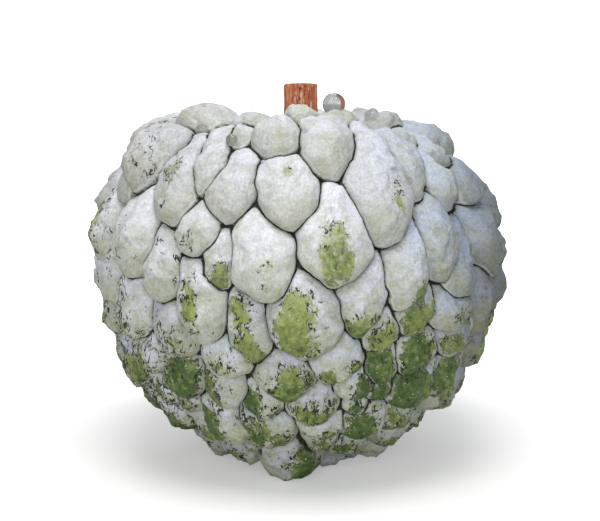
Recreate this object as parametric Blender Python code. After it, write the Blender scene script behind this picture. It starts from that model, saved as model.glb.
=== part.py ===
"""Custard apple (Annona squamosa): one syncarp fruit and the short stalk left on it.

The fruit is a round body covered with scale-like carpels. Every carpel is a cell of
its own on the body: its edge lies exactly in the crease it shares with its neighbours,
and it swells between them as a pillow whose lower end leans over the carpel below.
Angles are in degrees, azimuth 0 faces -Y and grows towards +X, latitude grows upwards.
"""

import math

import bmesh
import bpy
import numpy as np

# ---------------------------------------------------------------- driving dimensions
CENTRE_HEIGHT = 42.0            # mm, body centre above the rest plane
SHIFT_X = 0.21                  # mm, brings the middle of the outline over the origin
SHIFT_Y = 0.71                  # mm, the same from front to back
RELIEF = 4.3                    # mm, the creases lie about this far under the envelope
LOWEST_CREASE = -1.2            # mm, the deepest that a crease sinks below that
ARC_SCALE = 45.5                # mm, radius that turns angles into widths on the skin
BULGE = 0.30                    # height of a carpel's broad bulge, per mm of its half width
SWELL = 0.22                    # height of its rounded shoulder, per mm of its half width
LEAN = 0.12                     # downward shift of a carpel's face, per mm of height
LEAN_FADE = 0.5                 # the shift fades out this near the poles, as a share of radius
STEEPER_TIP = 0.50              # how much sharper the bulge falls at the lower end
TUCKED_TOP = 1.05               # how much further a carpel reaches up, under the ones above
OVERLAP = 0.26                  # how strongly lower ends win over the tops below them
DOME = 4.0                      # 2 is a round shoulder, more is a fuller one
FULL_REACH = 92                 # percentile of the depth inside a carpel that counts as its middle
SHOULDER = 0.42                 # 0.5 is an upright wall at the crease, 1 a plain slope
HEIGHT_REACH = 2.1              # a narrow carpel rises as if this much wider than its depth inside
BODY_LEAN_X = -0.035            # sideways lean of the upper half, mm per mm of height
FRONT_RISE = 3.2                # mm, the rim round the stalk is this much higher in front
RIM_LATITUDE = 64.0             # degrees, where that rise is greatest
RIM_SPREAD = 17.0               # degrees over which it fades
CORNER_ROUNDING = 0.5           # mm, how far the corners of a carpel are rounded off
SLOPE_FLOOR = 0.30              # keeps the distance to a crease smooth where bulges run level
CREASE_STEP = 4.3               # mm between points along a crease
CREASE_DETOUR = 1.08            # a crease is about this much longer than a straight line
RINGS = 3                       # rings of faces between a crease and a carpel's middle

STALK_RADIUS = 3.7              # mm, in the middle of the stalk
STALK_FLARE = 0.7               # mm, extra radius at the foot
STALK_TOP = 84.8                # mm above the rest plane
STALK_X = 0.6                   # mm, the stalk stands this far to the side of the origin
STALK_CUT_TILT = 12.0           # degrees, the cut falls towards the back
STALK_GAP = 0.5                 # mm, between the stalk's foot and its seat
STALK_SIDES = 28

# Outer envelope of the body: latitude, distance from the body centre in mm.
PROFILE = (
    (-90, 46.0), (-80, 46.2), (-70, 46.2), (-60, 45.3), (-50, 44.9), (-40, 45.5),
    (-30, 45.9), (-20, 45.8), (-10, 46.1), (0, 46.9), (10, 47.5), (20, 47.8),
    (30, 48.0), (40, 47.6), (50, 46.4), (60, 43.8), (70, 38.6), (80, 33.2), (90, 32.2),
)

# Carpels laid by hand on the front and the feet:
# azimuth, latitude, width mm, length mm, twist of the lower end eastwards, extra rise mm.
CARPELS = (
    # round the stalk and the upper rim
    (5, 65, 9, 11, 0, 1.0), (-8, 54, 11.5, 16, 15, 0.3), (-20, 61, 7, 10, 30, 0),
    (12.5, 51, 13, 20, 0, 0.2), (-23, 53, 5.5, 9, 0, -0.4), (-65, 60, 12, 14, 20, 1.2),
    (62, 60, 12, 12, -20, -0.3), (60, 52, 7, 9, -15, -0.5), (67, 44, 10, 13, -15, -0.6),
    (-64, 44, 13.5, 23, 15, 1.4), (-31, 42.5, 8, 17, 5, 0), (45, 42, 9, 19, -18, 0),
    # shoulder
    (-41, 35, 12.5, 19.5, 14, 0), (-20, 36.5, 11.5, 18, -8, 0), (-2, 36.5, 14, 20, 0, 0),
    (28, 36, 15, 27, -10, 0.3), (55, 36, 10.5, 15, 0, 0), (70, 33, 10, 14, 0, 0.9),
    (-66, 34, 9, 12, 10, 0.8), (-29, 25, 11, 15.5, -8, 0), (-54, 21, 15, 21, 8, 0),
    (-76, 20, 14, 19, 0, 0), (11, 24, 16.5, 24, 0, 0.3), (45, 21, 11, 21, -5, 0),
    # middle
    (-10, 19, 14.5, 22, 8, 0.2), (-22, 17, 7.5, 16, 0, -0.3), (32, 14, 11.5, 21, -17, 0),
    (18, 8, 11.5, 21, -12, -0.2), (52, 10, 11, 16, -15, 0), (71, 17, 14, 20, 0, 0.3),
    (-41, 13, 10, 18, 0, 0), (-28, 5, 13, 20, 8, 0.2), (2, 3, 17, 22, 0, 0.3),
    (-14, -2, 10.5, 17, 8, 0), (-68, 5, 10, 15, 0, 0), (-78, -6, 11, 14, 0, 0),
    (-56, -2, 13, 16, 0, 0), (-38, -4.5, 12.5, 15, 20, 0), (49, 0, 13, 13, 0, 0),
    (34, 0.5, 10, 12, 0, 0), (23, -3, 9, 12.5, 0, 0), (67, -1, 11, 17, 0, 0),
    # lower middle
    (10.5, -10.5, 13, 14.5, 0, 0.2), (36, -11.5, 12, 12.5, 0, 0), (52, -9, 12, 12, 0, 0),
    (24.5, -14, 10, 11.5, 0, 0), (38, -22, 13, 15, 0, 0.3), (53, -21.5, 11, 14, 0, 0),
    (26, -22.5, 8, 8.5, 0, -0.2), (17, -19, 10, 12.5, 0, 0), (-4, -15.5, 13.5, 14.5, 0, 0.3),
    (4, -26.5, 12.5, 12.5, 0, 0.2), (-11.5, -26, 9.5, 11.5, 10, 0), (-21, -11.5, 12.5, 10.5, 0, 0),
    (-23.5, -21.5, 11, 13, 0, 0), (-38.5, -19, 12, 13.5, 0, 0), (-53, -15, 12, 12, 0, 0),
    (-52, -28, 9, 9, 0, 0), (-42, -31, 8.5, 9, 0, 0),
    # towards the blossom end
    (19, -29, 6.5, 7, 0, -0.2), (24, -36, 11.5, 13, 0, 0.2), (42, -38, 10, 12, 0, -0.6),
    (9, -36, 11.5, 11, 0, 0.2), (11, -47, 9, 9, 0, 0), (23, -50, 9.5, 10, 0, 0),
    (-12, -38, 13, 12.5, 0, 0.4), (-29, -37, 11.5, 15, 0, 0.2), (-42, -45, 9.5, 10.5, 0, -0.3),
    (-26, -53, 8.5, 9, 0, -0.6), (-7, -57, 14.5, 14.5, 0, 2.2),
    # feet beside and behind the front one, and the blossom end itself
    (62, -60, 11, 11, 0, 0.4), (108, -62, 11, 11, 0, 0.9), (160, -61, 12, 12, 0, 1.4),
    (-70, -60, 11, 11, 0, 0.6), (-112, -62, 11, 11, 0, 0.9), (-160, -62, 11, 11, 0, 1.3),
    (25, -69, 8.5, 8.5, 0, 0), (150, -77, 9, 9, 0, 0), (-100, -78, 9, 9, 0, 0),
    # both sides, where they turn away from the front
    (86, 48, 12.5, 16, 0, -0.7), (88, 25, 13, 19, 0, 0), (88, 2, 12.5, 17, 0, 0),
    (-88, 50, 13, 19, 8, 0.7), (-92, 27, 13, 19, 0, 0), (-93, 4, 12.5, 17, 0, 0),
)

STALK_SEAT = (0, 90, 17.0, 17.0, 0, 0)    # the bare dish that the stalk grows from

# The carpels nobody laid by hand are placed by rule.
FILL_TRIES = 1500               # points of the golden spiral that are tried
FILL_GAP = 0.86                 # least distance between centres, in carpel sizes
FILL_ROUNDS = 12                # rounds of evening out
FILL_SEED_TURN = 0.35           # start of the spiral, in turns


def envelope(latitude):
    """Distance of the outer envelope from the body centre, in mm."""
    angles = [point[0] for point in PROFILE]
    radii = [point[1] for point in PROFILE]
    soft = [np.interp(latitude + offset, angles, radii) for offset in (-6, -3, 0, 3, 6)]
    return (soft[0] + 2 * soft[1] + 3 * soft[2] + 2 * soft[3] + soft[4]) / 9


def direction(azimuth, latitude):
    """Unit vectors for azimuth and latitude in degrees."""
    turn, lift = np.radians(azimuth), np.radians(latitude)
    return np.stack([np.cos(lift) * np.sin(turn), -np.cos(lift) * np.cos(turn), np.sin(lift)], -1)


def unit(vectors):
    """The same vectors, one long."""
    return vectors / np.linalg.norm(vectors, axis=-1, keepdims=True)


class Carpels:
    """Centres, tangent frames and half sizes of a set of carpels."""

    def __init__(self, rows):
        """Rows are laid out like the rows of CARPELS."""
        rows = np.array(rows, float)
        self.rows = rows
        self.centre = direction(rows[:, 0], rows[:, 1])
        turn = np.radians(rows[:, 0])
        east = np.stack([np.cos(turn), np.sin(turn), 0 * turn], -1)
        south = np.cross(east, self.centre)
        twist = np.radians(rows[:, 4])[:, None]
        self.across = np.cos(twist) * east - np.sin(twist) * south
        self.along = np.cos(twist) * south + np.sin(twist) * east
        self.half_width = rows[:, 2] / 2
        self.half_length = rows[:, 3] / 2
        self.rise = rows[:, 5]

    def __len__(self):
        return len(self.rows)

    def plane(self, index, points):
        """Distances in mm across and along carpel index of unit vectors points."""
        centre = self.centre[index]
        cosine = np.clip((points * centre).sum(-1), -1, 1)
        angle = np.arccos(cosine)
        stretch = ARC_SCALE * angle / np.maximum(np.sin(angle), 1e-6)
        across = stretch * (points * self.across[index]).sum(-1)
        along = stretch * (points * self.along[index]).sum(-1)
        return across, along

    def bulge(self, index, points):
        """Height in mm of the broad bulge of carpel index: the highest one owns the skin."""
        across, along = self.plane(index, points)
        u = across / self.half_width[index]
        v = along / self.half_length[index]
        reach = np.where(v < 0, v / TUCKED_TOP, v)
        edge = 1 - u * u - reach * reach
        steep = 1 + STEEPER_TIP * np.clip(v, -0.6, 1.5)
        size = BULGE * np.sqrt(self.half_width[index] * self.half_length[index])
        return size * (edge * steep + OVERLAP * np.tanh(2.5 * v))

    def owner(self, points):
        """Number of the carpel that owns each of the unit vectors points."""
        best = np.full(len(points), -np.inf)
        label = np.zeros(len(points), int)
        for index in range(len(self)):
            value = self.bulge(index, points)
            better = value > best
            best[better] = value[better]
            label[better] = index
        return label


def natural_size(latitude):
    """Usual width and length of a carpel at a latitude, in mm."""
    width = np.interp(latitude, (-90, -60, -20, 20, 60, 90), (8.5, 10.5, 12.5, 14.0, 12.5, 10.0))
    length = np.interp(latitude, (-90, -60, -20, 20, 60, 90), (8.5, 11.0, 14.5, 20.0, 15.0, 10.0))
    return width, length


def fill_rows():
    """Rows for every carpel: the stalk's seat, the hand-laid ones and those placed by rule."""
    rows = [STALK_SEAT] + [list(row) for row in CARPELS]
    fixed = len(rows)
    golden = math.pi * (3 - math.sqrt(5))
    for step in range(FILL_TRIES):
        height = 1 - 2 * (step + 0.5) / FILL_TRIES
        latitude = math.degrees(math.asin(height))
        azimuth = (math.degrees(golden * step) + 360 * FILL_SEED_TURN) % 360
        width, length = natural_size(latitude)
        here = Carpels([(azimuth, latitude, width, length, 0, 0)])
        others = Carpels(rows)
        across, along = here.plane(0, others.centre)
        reach_across = width / 2 + others.half_width
        reach_along = length / 2 + others.half_length
        apart = np.hypot(across / reach_across, along / reach_along)
        if apart.min() > FILL_GAP:
            rows.append([azimuth, latitude, width, length, 0, 0])
    return rows, fixed


def even_out(rows, fixed):
    """Move the carpels placed by rule to the middle of their own cells."""
    points, _ = sphere_points(6)
    for _ in range(FILL_ROUNDS):
        carpels = Carpels(rows)
        label = carpels.owner(points)
        for index in range(fixed, len(rows)):
            own = points[label == index]
            if len(own) == 0:
                continue
            middle = unit(own.mean(0))
            latitude = math.degrees(math.asin(middle[2]))
            azimuth = math.degrees(math.atan2(middle[0], -middle[1]))
            width, length = natural_size(latitude)
            rows[index] = [azimuth, latitude, width, length, 0, 0]
    return rows


def sphere_points(subdivisions):
    """Vertices and faces of a dense ball, for labelling."""
    mesh = bmesh.new()
    bmesh.ops.create_icosphere(mesh, subdivisions=subdivisions, radius=1.0)
    points = unit(np.array([vertex.co[:] for vertex in mesh.verts]))
    faces = np.array([[vertex.index for vertex in face.verts] for face in mesh.faces])
    mesh.free()
    return points, faces


def tangents(points):
    """Two unit tangents at each unit vector."""
    helper = np.where(np.abs(points[:, 2:3]) < 0.9, [[0.0, 0.0, 1.0]], [[1.0, 0.0, 0.0]])
    first = unit(np.cross(helper, points))
    return first, np.cross(points, first)


def find_junctions(carpels, points, faces):
    """Unit vectors where three carpels meet, with the three carpels of each."""
    label = carpels.owner(points)
    corner = np.sort(label[faces], axis=1)
    three = (corner[:, 0] != corner[:, 1]) & (corner[:, 1] != corner[:, 2])
    triples = corner[three]
    places = unit(points[faces[three]].mean(1))
    if len(np.unique(triples, axis=0)) != len(triples):
        raise RuntimeError("three carpels meet twice")
    a, b, c = triples.T
    step = 1e-4
    for _ in range(12):
        first, second = tangents(places)

        def gaps(where):
            base = carpels.bulge(a, where)
            return np.stack([base - carpels.bulge(b, where), base - carpels.bulge(c, where)], -1)

        here = gaps(places)
        by_first = (gaps(unit(places + step * first)) - here) / step
        by_second = (gaps(unit(places + step * second)) - here) / step
        matrix = np.stack([by_first, by_second], -1)
        move = -np.linalg.solve(matrix, here[..., None])[..., 0]
        size = np.linalg.norm(move, axis=1, keepdims=True)
        move *= np.minimum(1, 0.02 / np.maximum(size, 1e-12))
        places = unit(places + move[:, :1] * first + move[:, 1:] * second)
    return places, triples


def trace_creases(carpels, places, triples):
    """Points along every crease between two junctions, and each carpel's loop of creases."""
    members = {}
    for number, triple in enumerate(triples):
        for index in triple:
            members.setdefault(int(index), []).append(number)
    points = [place for place in places]
    creases = {}
    loops = {}
    for index, numbers in sorted(members.items()):
        ring, borders = walk_round(index, numbers, triples)
        across, along = carpels.plane(index, places[ring])
        turned = across * np.roll(along, -1) - np.roll(across, -1) * along
        if turned.sum() > 0:
            ring = ring[:1] + ring[:0:-1]
            borders = borders[::-1]
        loop = []
        for here, there, other in zip(ring, ring[1:] + ring[:1], borders):
            key = (min(here, there), max(here, there), min(index, other), max(index, other))
            if key not in creases:
                creases[key] = crease_points(carpels, key, places, points)
            between = creases[key]
            loop += [here] + (between if here == key[0] else between[::-1])
        loops[index] = loop
    return np.array(points), loops


def walk_round(index, numbers, triples):
    """The junctions of one carpel in order, with the neighbour met after each."""
    ends = {}
    for number in numbers:
        for other in set(map(int, triples[number])) - {index}:
            ends.setdefault(other, []).append(number)
    if any(len(pair) != 2 for pair in ends.values()):
        raise RuntimeError("carpel %d has a broken edge" % index)
    here = numbers[0]
    other = min(set(map(int, triples[here])) - {index})
    ring, borders = [], []
    while True:
        ring.append(here)
        borders.append(other)
        here = sum(ends[other]) - here
        if here == ring[0]:
            return ring, borders
        other = (set(map(int, triples[here])) - {index, other}).pop()


def crease_points(carpels, key, places, points):
    """Add the points between two junctions to points and return their numbers."""
    start, end, one, two = key
    first, last = places[start], places[end]
    length = ARC_SCALE * math.acos(min(1.0, float(first @ last)))
    count = max(0, round(length * CREASE_DETOUR / CREASE_STEP) - 1)
    if count == 0:
        return []
    share = (np.arange(count) + 1) / (count + 1)
    base = unit(first + share[:, None] * (last - first))
    side = unit(np.cross(base, last - first))
    offset = np.zeros(count)
    step = 1e-4
    ones, twos = np.full(count, one), np.full(count, two)
    for _ in range(14):
        def gap(amount):
            where = unit(base + amount[:, None] * side)
            return carpels.bulge(ones, where) - carpels.bulge(twos, where)

        here = gap(offset)
        slope = (gap(offset + step) - here) / step
        change = -here / np.where(np.abs(slope) < 1e-6, 1e-6, slope)
        offset = np.clip(offset + np.clip(change, -0.02, 0.02), -0.12, 0.12)
    numbers = list(range(len(points), len(points) + count))
    points += list(unit(base + offset[:, None] * side))
    return numbers


def skin_point(points, height):
    """Places in mm of unit vectors raised by height over the body."""
    latitude = np.degrees(np.arcsin(np.clip(points[:, 2], -1, 1)))
    rim = np.exp(-((latitude - RIM_LATITUDE) / RIM_SPREAD) ** 2)
    front = -points[:, 1] / math.cos(math.radians(RIM_LATITUDE))
    radius = envelope(latitude) - RELIEF + FRONT_RISE * rim * front
    slope = (envelope(latitude + 0.5) - envelope(latitude - 0.5)) / math.radians(1.0)
    level = np.hypot(points[:, 0], points[:, 1])
    safe = np.maximum(level, 1e-6)
    north = np.stack([-points[:, 0] * points[:, 2] / safe, -points[:, 1] * points[:, 2] / safe,
                      level], -1)
    normal = unit(points * radius[:, None] - north * slope[:, None])
    south = -unit(north * radius[:, None] + points * slope[:, None])
    fade = np.clip(level / LEAN_FADE, 0, 1)[:, None]
    place = points * radius[:, None] + height[:, None] * (normal + LEAN * fade * south)
    place[:, 2] += CENTRE_HEIGHT
    place[:, 0] += BODY_LEAN_X * np.maximum(place[:, 2] - CENTRE_HEIGHT, 0)
    place[:, 2] = np.maximum(place[:, 2], 0)
    return place + (SHIFT_X, SHIFT_Y, 0)


def broad_height(carpels, index, points):
    """The broad bulge in mm, without its far tail."""
    return np.maximum(carpels.bulge(index, points), LOWEST_CREASE)


def shoulder_height(carpels, index, neighbours, points):
    """Height in mm of points inside carpel index over its broad bulge."""
    first, second = tangents(points)
    step = 1e-4
    closeness = np.zeros(len(points))
    for other in neighbours:
        def gap(where):
            return carpels.bulge(index, where) - carpels.bulge(other, where)

        here = gap(points)
        slope = np.hypot((gap(unit(points + step * first)) - here) / step,
                         (gap(unit(points + step * second)) - here) / step) / ARC_SCALE
        distance = np.maximum(here, 0) / np.maximum(slope, SLOPE_FLOOR)
        closeness += np.exp(-distance / CORNER_ROUNDING)
    inside = np.maximum(-CORNER_ROUNDING * np.log(closeness), 0)
    reach = np.percentile(inside, FULL_REACH)
    fullness = np.clip(inside / reach, 0, 1.15)
    mean_half = math.sqrt(carpels.half_width[index] * carpels.half_length[index])
    top = SWELL * min(reach * HEIGHT_REACH, mean_half) + carpels.rise[index]
    return top * (1 - np.abs(1 - fullness) ** DOME) ** SHOULDER


def build_fruit_mesh():
    """Vertices in metres and triangles of the whole fruit."""
    ball, ball_faces = sphere_points(7)
    rows, fixed = fill_rows()
    rows = even_out(rows, fixed)
    carpels = Carpels(rows)
    places, triples = find_junctions(carpels, ball, ball_faces)
    if len(places) != 2 * len(carpels) - 4:
        raise RuntimeError("%d junctions for %d carpels" % (len(places), len(carpels)))
    crease, loops = trace_creases(carpels, places, triples)
    owner = carpels.owner(crease)
    vertices = [skin_point(crease, broad_height(carpels, owner, crease))]
    total = len(crease)
    faces = []
    share = np.cos(np.pi / 2 * np.arange(1, RINGS) / RINGS)
    for index, loop in loops.items():
        across, along = carpels.plane(index, crease[loop])
        edge = np.stack([across, along], -1)
        middle = edge.mean(0)
        flat = [middle + part * (edge - middle) for part in share] + [middle[None]]
        flat = np.concatenate(flat)
        angle = np.linalg.norm(flat, axis=1) / ARC_SCALE
        spread = np.sin(angle) / np.maximum(angle, 1e-9) / ARC_SCALE
        inner = (carpels.centre[index] * np.cos(angle)[:, None]
                 + carpels.across[index] * (flat[:, :1] * spread[:, None])
                 + carpels.along[index] * (flat[:, 1:] * spread[:, None]))
        touching = {int(label) for number in loop if number < len(triples)
                    for label in triples[number]} - {index}
        if index == 0:
            height = np.full(len(inner), LOWEST_CREASE)
        else:
            height = broad_height(carpels, index, inner)
            height += shoulder_height(carpels, index, sorted(touching), inner)
        vertices.append(skin_point(inner, height))
        count = len(loop)
        rings = [list(loop)] + [list(range(total + ring * count, total + (ring + 1) * count))
                                for ring in range(RINGS - 1)]
        centre = total + (RINGS - 1) * count
        for outer, within in zip(rings, rings[1:]):
            for side in range(count):
                after = (side + 1) % count
                faces.append((outer[side], outer[after], within[after]))
                faces.append((outer[side], within[after], within[side]))
        for side in range(count):
            faces.append((rings[-1][side], rings[-1][(side + 1) % count], centre))
        total += len(inner)
    return np.concatenate(vertices) / 1000, faces


def make_material(name, colour, roughness):
    """A plain Principled material."""
    material = bpy.data.materials.new(name)
    material.use_nodes = True
    shader = material.node_tree.nodes["Principled BSDF"]
    shader.inputs["Base Color"].default_value = (*colour, 1)
    shader.inputs["Roughness"].default_value = roughness
    shader.inputs["Metallic"].default_value = 0
    return material


def add_object(name, mesh, material):
    """Link mesh to the scene as a named object."""
    mesh.materials.append(material)
    mesh.shade_smooth()
    thing = bpy.data.objects.new(name, mesh)
    bpy.context.scene.collection.objects.link(thing)
    return thing


def make_fruit():
    """The fruit: one closed skin of carpels."""
    vertices, faces = build_fruit_mesh()
    mesh = bpy.data.meshes.new("fruit")
    mesh.from_pydata(vertices.tolist(), [], faces)
    mesh.update()
    return add_object("fruit", mesh, make_material("waxy_green_skin", (0.55, 0.60, 0.50), 0.6))


def make_stalk():
    """The woody stalk: a slightly flared rod, cut across at the top."""
    seat = CENTRE_HEIGHT + float(envelope(90.0)) - RELIEF
    foot = seat + STALK_GAP
    levels = (0.0, 0.12, 0.3, 0.65, 1.0)
    mesh = bmesh.new()
    rings = []
    for level in levels:
        ring = []
        radius = STALK_RADIUS + STALK_FLARE * (1 - level) ** 3
        for side in range(STALK_SIDES):
            turn = 2 * math.pi * side / STALK_SIDES
            x, y = radius * math.cos(turn), radius * math.sin(turn)
            top = STALK_TOP - y * math.tan(math.radians(STALK_CUT_TILT))
            z = foot + level * (top - foot)
            ring.append(mesh.verts.new(((x + STALK_X) / 1000, (y + SHIFT_Y) / 1000, z / 1000)))
        rings.append(ring)
    for lower, upper in zip(rings, rings[1:]):
        for side in range(STALK_SIDES):
            after = (side + 1) % STALK_SIDES
            mesh.faces.new((lower[side], lower[after], upper[after], upper[side]))
    mesh.faces.new(rings[0][::-1])
    mesh.faces.new(rings[-1])
    result = bpy.data.meshes.new("stalk")
    mesh.to_mesh(result)
    mesh.free()
    return add_object("stalk", result, make_material("brown_bark", (0.42, 0.15, 0.07), 0.8))


def main():
    for thing in list(bpy.data.objects):
        bpy.data.objects.remove(thing, do_unlink=True)
    make_fruit()
    make_stalk()


if __name__ == "__main__":
    main()
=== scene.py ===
import math

import bmesh
import bpy
import numpy as np
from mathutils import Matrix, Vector
from mathutils.bvhtree import BVHTree


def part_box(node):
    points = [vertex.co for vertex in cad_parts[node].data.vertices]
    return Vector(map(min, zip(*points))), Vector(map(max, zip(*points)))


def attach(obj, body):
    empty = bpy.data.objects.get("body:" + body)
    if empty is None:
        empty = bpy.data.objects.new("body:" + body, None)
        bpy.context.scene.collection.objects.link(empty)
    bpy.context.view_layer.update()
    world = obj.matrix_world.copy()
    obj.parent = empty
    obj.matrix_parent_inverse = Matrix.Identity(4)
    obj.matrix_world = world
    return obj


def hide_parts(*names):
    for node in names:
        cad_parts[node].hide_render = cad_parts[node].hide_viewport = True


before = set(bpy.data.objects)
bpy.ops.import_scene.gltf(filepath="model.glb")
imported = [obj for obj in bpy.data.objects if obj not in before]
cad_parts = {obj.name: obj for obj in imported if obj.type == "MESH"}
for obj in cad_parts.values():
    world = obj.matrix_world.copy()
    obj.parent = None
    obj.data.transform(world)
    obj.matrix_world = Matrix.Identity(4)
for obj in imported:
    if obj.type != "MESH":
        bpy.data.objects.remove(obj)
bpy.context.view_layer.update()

bl_info = {
    "name": "Custard apple",
    "version": (1, 0, 0),
    "blender": (4, 5, 0),
    "location": "View3D > Sidebar > Custard apple",
    "description": "Builds a custard apple with its stalk and a few water drops",
    "category": "Add Mesh",
}

# Angles are in degrees: azimuth 0 faces -Y and grows towards +X, latitude grows upwards.
# Lengths are in millimetres, unless a comment says metres.

# ---------------------------------------------------------------- the body, as in the CAD
CENTRE_HEIGHT = 42.0            # body centre above the rest plane
SHIFT_X = 0.21                  # brings the middle of the outline over the origin
SHIFT_Y = 0.71
RELIEF = 4.3                    # the creases lie about this far under the envelope
LOWEST_CREASE = -1.2
ARC_SCALE = 45.5                # radius that turns angles into widths on the skin
BULGE = 0.30                    # height of a broad bulge, per unit of a carpel's half size
SWELL = 0.22                    # height of the dome on it, likewise
STEEPER_TIP = 0.50              # how much steeper the lower end of a carpel is
TUCKED_TOP = 1.05               # how much longer its upper half is, under the one above
OVERLAP = 0.26                  # how far its lower end lies over the one below
FULL_REACH = 92                 # per cent of a carpel's points that lie below its dome's top
HEIGHT_REACH = 2.1              # half size that counts at most, per unit of depth inside
LEAN_FADE = 0.5                 # the sag fades out nearer to the poles than this
FRONT_RISE = 3.2                # lift of the rim towards the front
RIM_LATITUDE = 64.0
RIM_SPREAD = 17.0
CORNER_ROUNDING = 0.5           # softens the distance to the creases in the corners
SLOPE_FLOOR = 0.30              # least slope that such a distance is worked out with
BODY_LEAN_X = -0.035            # sideways lean of the upper half, for each unit of height
CREASE_STEP = 1.04              # between points along a crease
CREASE_DETOUR = 1.08            # a crease is about this much longer than its chord
RINGS = 12                      # rings of faces between a crease and a carpel's middle
NUDGE = 1e-4                    # turn, in radians, that slopes are measured over
LARGEST_MOVE = 0.02             # and the largest turn of one solver round
JUNCTION_ROUNDS = 12
CREASE_ROUNDS = 14
WIDEST_DETOUR = 0.12            # of a crease from its chord, in radians
COARSE_BALL = 6                 # subdivisions of the balls that carpels are labelled on
FINE_BALL = 7
SEAT_LATITUDE = 76              # the bare seat starts here and is full this much further up
SEAT_SPAN = 8

# latitude, radius of the envelope
PROFILE = (
    (-90, 46.0), (-80, 46.2), (-70, 46.2), (-60, 45.3), (-50, 44.9), (-40, 45.5),
    (-30, 45.9), (-20, 45.8), (-10, 46.1), (0, 46.9), (10, 47.5), (20, 47.8),
    (30, 48.0), (40, 47.6), (50, 46.4), (60, 43.8), (70, 38.6), (80, 33.2), (90, 32.2),
)

# azimuth, latitude, width, length, twist of the lower end eastwards, extra rise
CARPELS = (
    # round the stalk and the upper rim
    (5, 65, 9, 11, 0, 1.0), (-8, 54, 11.5, 16, 15, 0.3), (-20, 61, 7, 10, 30, 0),
    (12.5, 51, 13, 20, 0, 0.2), (-23, 53, 5.5, 9, 0, -0.4), (-65, 60, 12, 14, 20, 1.2),
    (62, 60, 12, 12, -20, -0.3), (60, 52, 7, 9, -15, -0.5), (67, 44, 10, 13, -15, -0.6),
    (-64, 44, 13.5, 23, 15, 1.4), (-31, 42.5, 8, 17, 5, 0), (45, 42, 9, 19, -18, 0),
    # shoulder
    (-41, 35, 12.5, 19.5, 14, 0), (-20, 36.5, 11.5, 18, -8, 0), (-2, 36.5, 14, 20, 0, 0),
    (28, 36, 15, 27, -10, 0.3), (55, 36, 10.5, 15, 0, 0), (70, 33, 10, 14, 0, 0.9),
    (-66, 34, 9, 12, 10, 0.8), (-29, 25, 11, 15.5, -8, 0), (-54, 21, 15, 21, 8, 0),
    (-76, 20, 14, 19, 0, 0), (11, 24, 16.5, 24, 0, 0.3), (45, 21, 11, 21, -5, 0),
    # middle
    (-10, 19, 14.5, 22, 8, 0.2), (-22, 17, 7.5, 16, 0, -0.3), (32, 14, 11.5, 21, -17, 0),
    (18, 8, 11.5, 21, -12, -0.2), (52, 10, 11, 16, -15, 0), (71, 17, 14, 20, 0, 0.3),
    (-41, 13, 10, 18, 0, 0), (-28, 5, 13, 20, 8, 0.2), (2, 3, 17, 22, 0, 0.3),
    (-14, -2, 10.5, 17, 8, 0), (-68, 5, 10, 15, 0, 0), (-78, -6, 11, 14, 0, 0),
    (-56, -2, 13, 16, 0, 0), (-38, -4.5, 12.5, 15, 20, 0), (49, 0, 13, 13, 0, 0),
    (34, 0.5, 10, 12, 0, 0), (23, -3, 9, 12.5, 0, 0), (67, -1, 11, 17, 0, 0),
    # lower middle
    (10.5, -10.5, 13, 14.5, 0, 0.2), (36, -11.5, 12, 12.5, 0, 0), (52, -9, 12, 12, 0, 0),
    (24.5, -14, 10, 11.5, 0, 0), (38, -22, 13, 15, 0, 0.3), (53, -21.5, 11, 14, 0, 0),
    (26, -22.5, 8, 8.5, 0, -0.2), (17, -19, 10, 12.5, 0, 0), (-4, -15.5, 13.5, 14.5, 0, 0.3),
    (4, -26.5, 12.5, 12.5, 0, 0.2), (-11.5, -26, 9.5, 11.5, 10, 0), (-21, -11.5, 12.5, 10.5, 0, 0),
    (-23.5, -21.5, 11, 13, 0, 0), (-38.5, -19, 12, 13.5, 0, 0), (-53, -15, 12, 12, 0, 0),
    (-52, -28, 9, 9, 0, 0), (-42, -31, 8.5, 9, 0, 0),
    # towards the blossom end
    (19, -29, 6.5, 7, 0, -0.2), (24, -36, 11.5, 13, 0, 0.2), (42, -38, 10, 12, 0, -0.6),
    (9, -36, 11.5, 11, 0, 0.2), (11, -47, 9, 9, 0, 0), (23, -50, 9.5, 10, 0, 0),
    (-12, -38, 13, 12.5, 0, 0.4), (-29, -37, 11.5, 15, 0, 0.2), (-42, -45, 9.5, 10.5, 0, -0.3),
    (-26, -53, 8.5, 9, 0, -0.6), (-7, -57, 14.5, 14.5, 0, 2.2),
    # feet beside and behind the front one, and the blossom end itself
    (62, -60, 11, 11, 0, 0.4), (108, -62, 11, 11, 0, 0.9), (160, -61, 12, 12, 0, 1.4),
    (-70, -60, 11, 11, 0, 0.6), (-112, -62, 11, 11, 0, 0.9), (-160, -62, 11, 11, 0, 1.3),
    (25, -69, 8.5, 8.5, 0, 0), (150, -77, 9, 9, 0, 0), (-100, -78, 9, 9, 0, 0),
    # both sides, where they turn away from the front
    (86, 48, 12.5, 16, 0, -0.7), (88, 25, 13, 19, 0, 0), (88, 2, 12.5, 17, 0, 0),
    (-88, 50, 13, 19, 8, 0.7), (-92, 27, 13, 19, 0, 0), (-93, 4, 12.5, 17, 0, 0),
)

STALK_SEAT = (0, 90, 17.0, 17.0, 0, 0)
FILL_TRIES = 1500               # places on a spiral that are tried for a carpel by rule
FILL_GAP = 0.86                 # least distance to the others, in half sizes
FILL_ROUNDS = 12
FILL_SEED_TURN = 0.35           # start of the spiral, in turns

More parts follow.
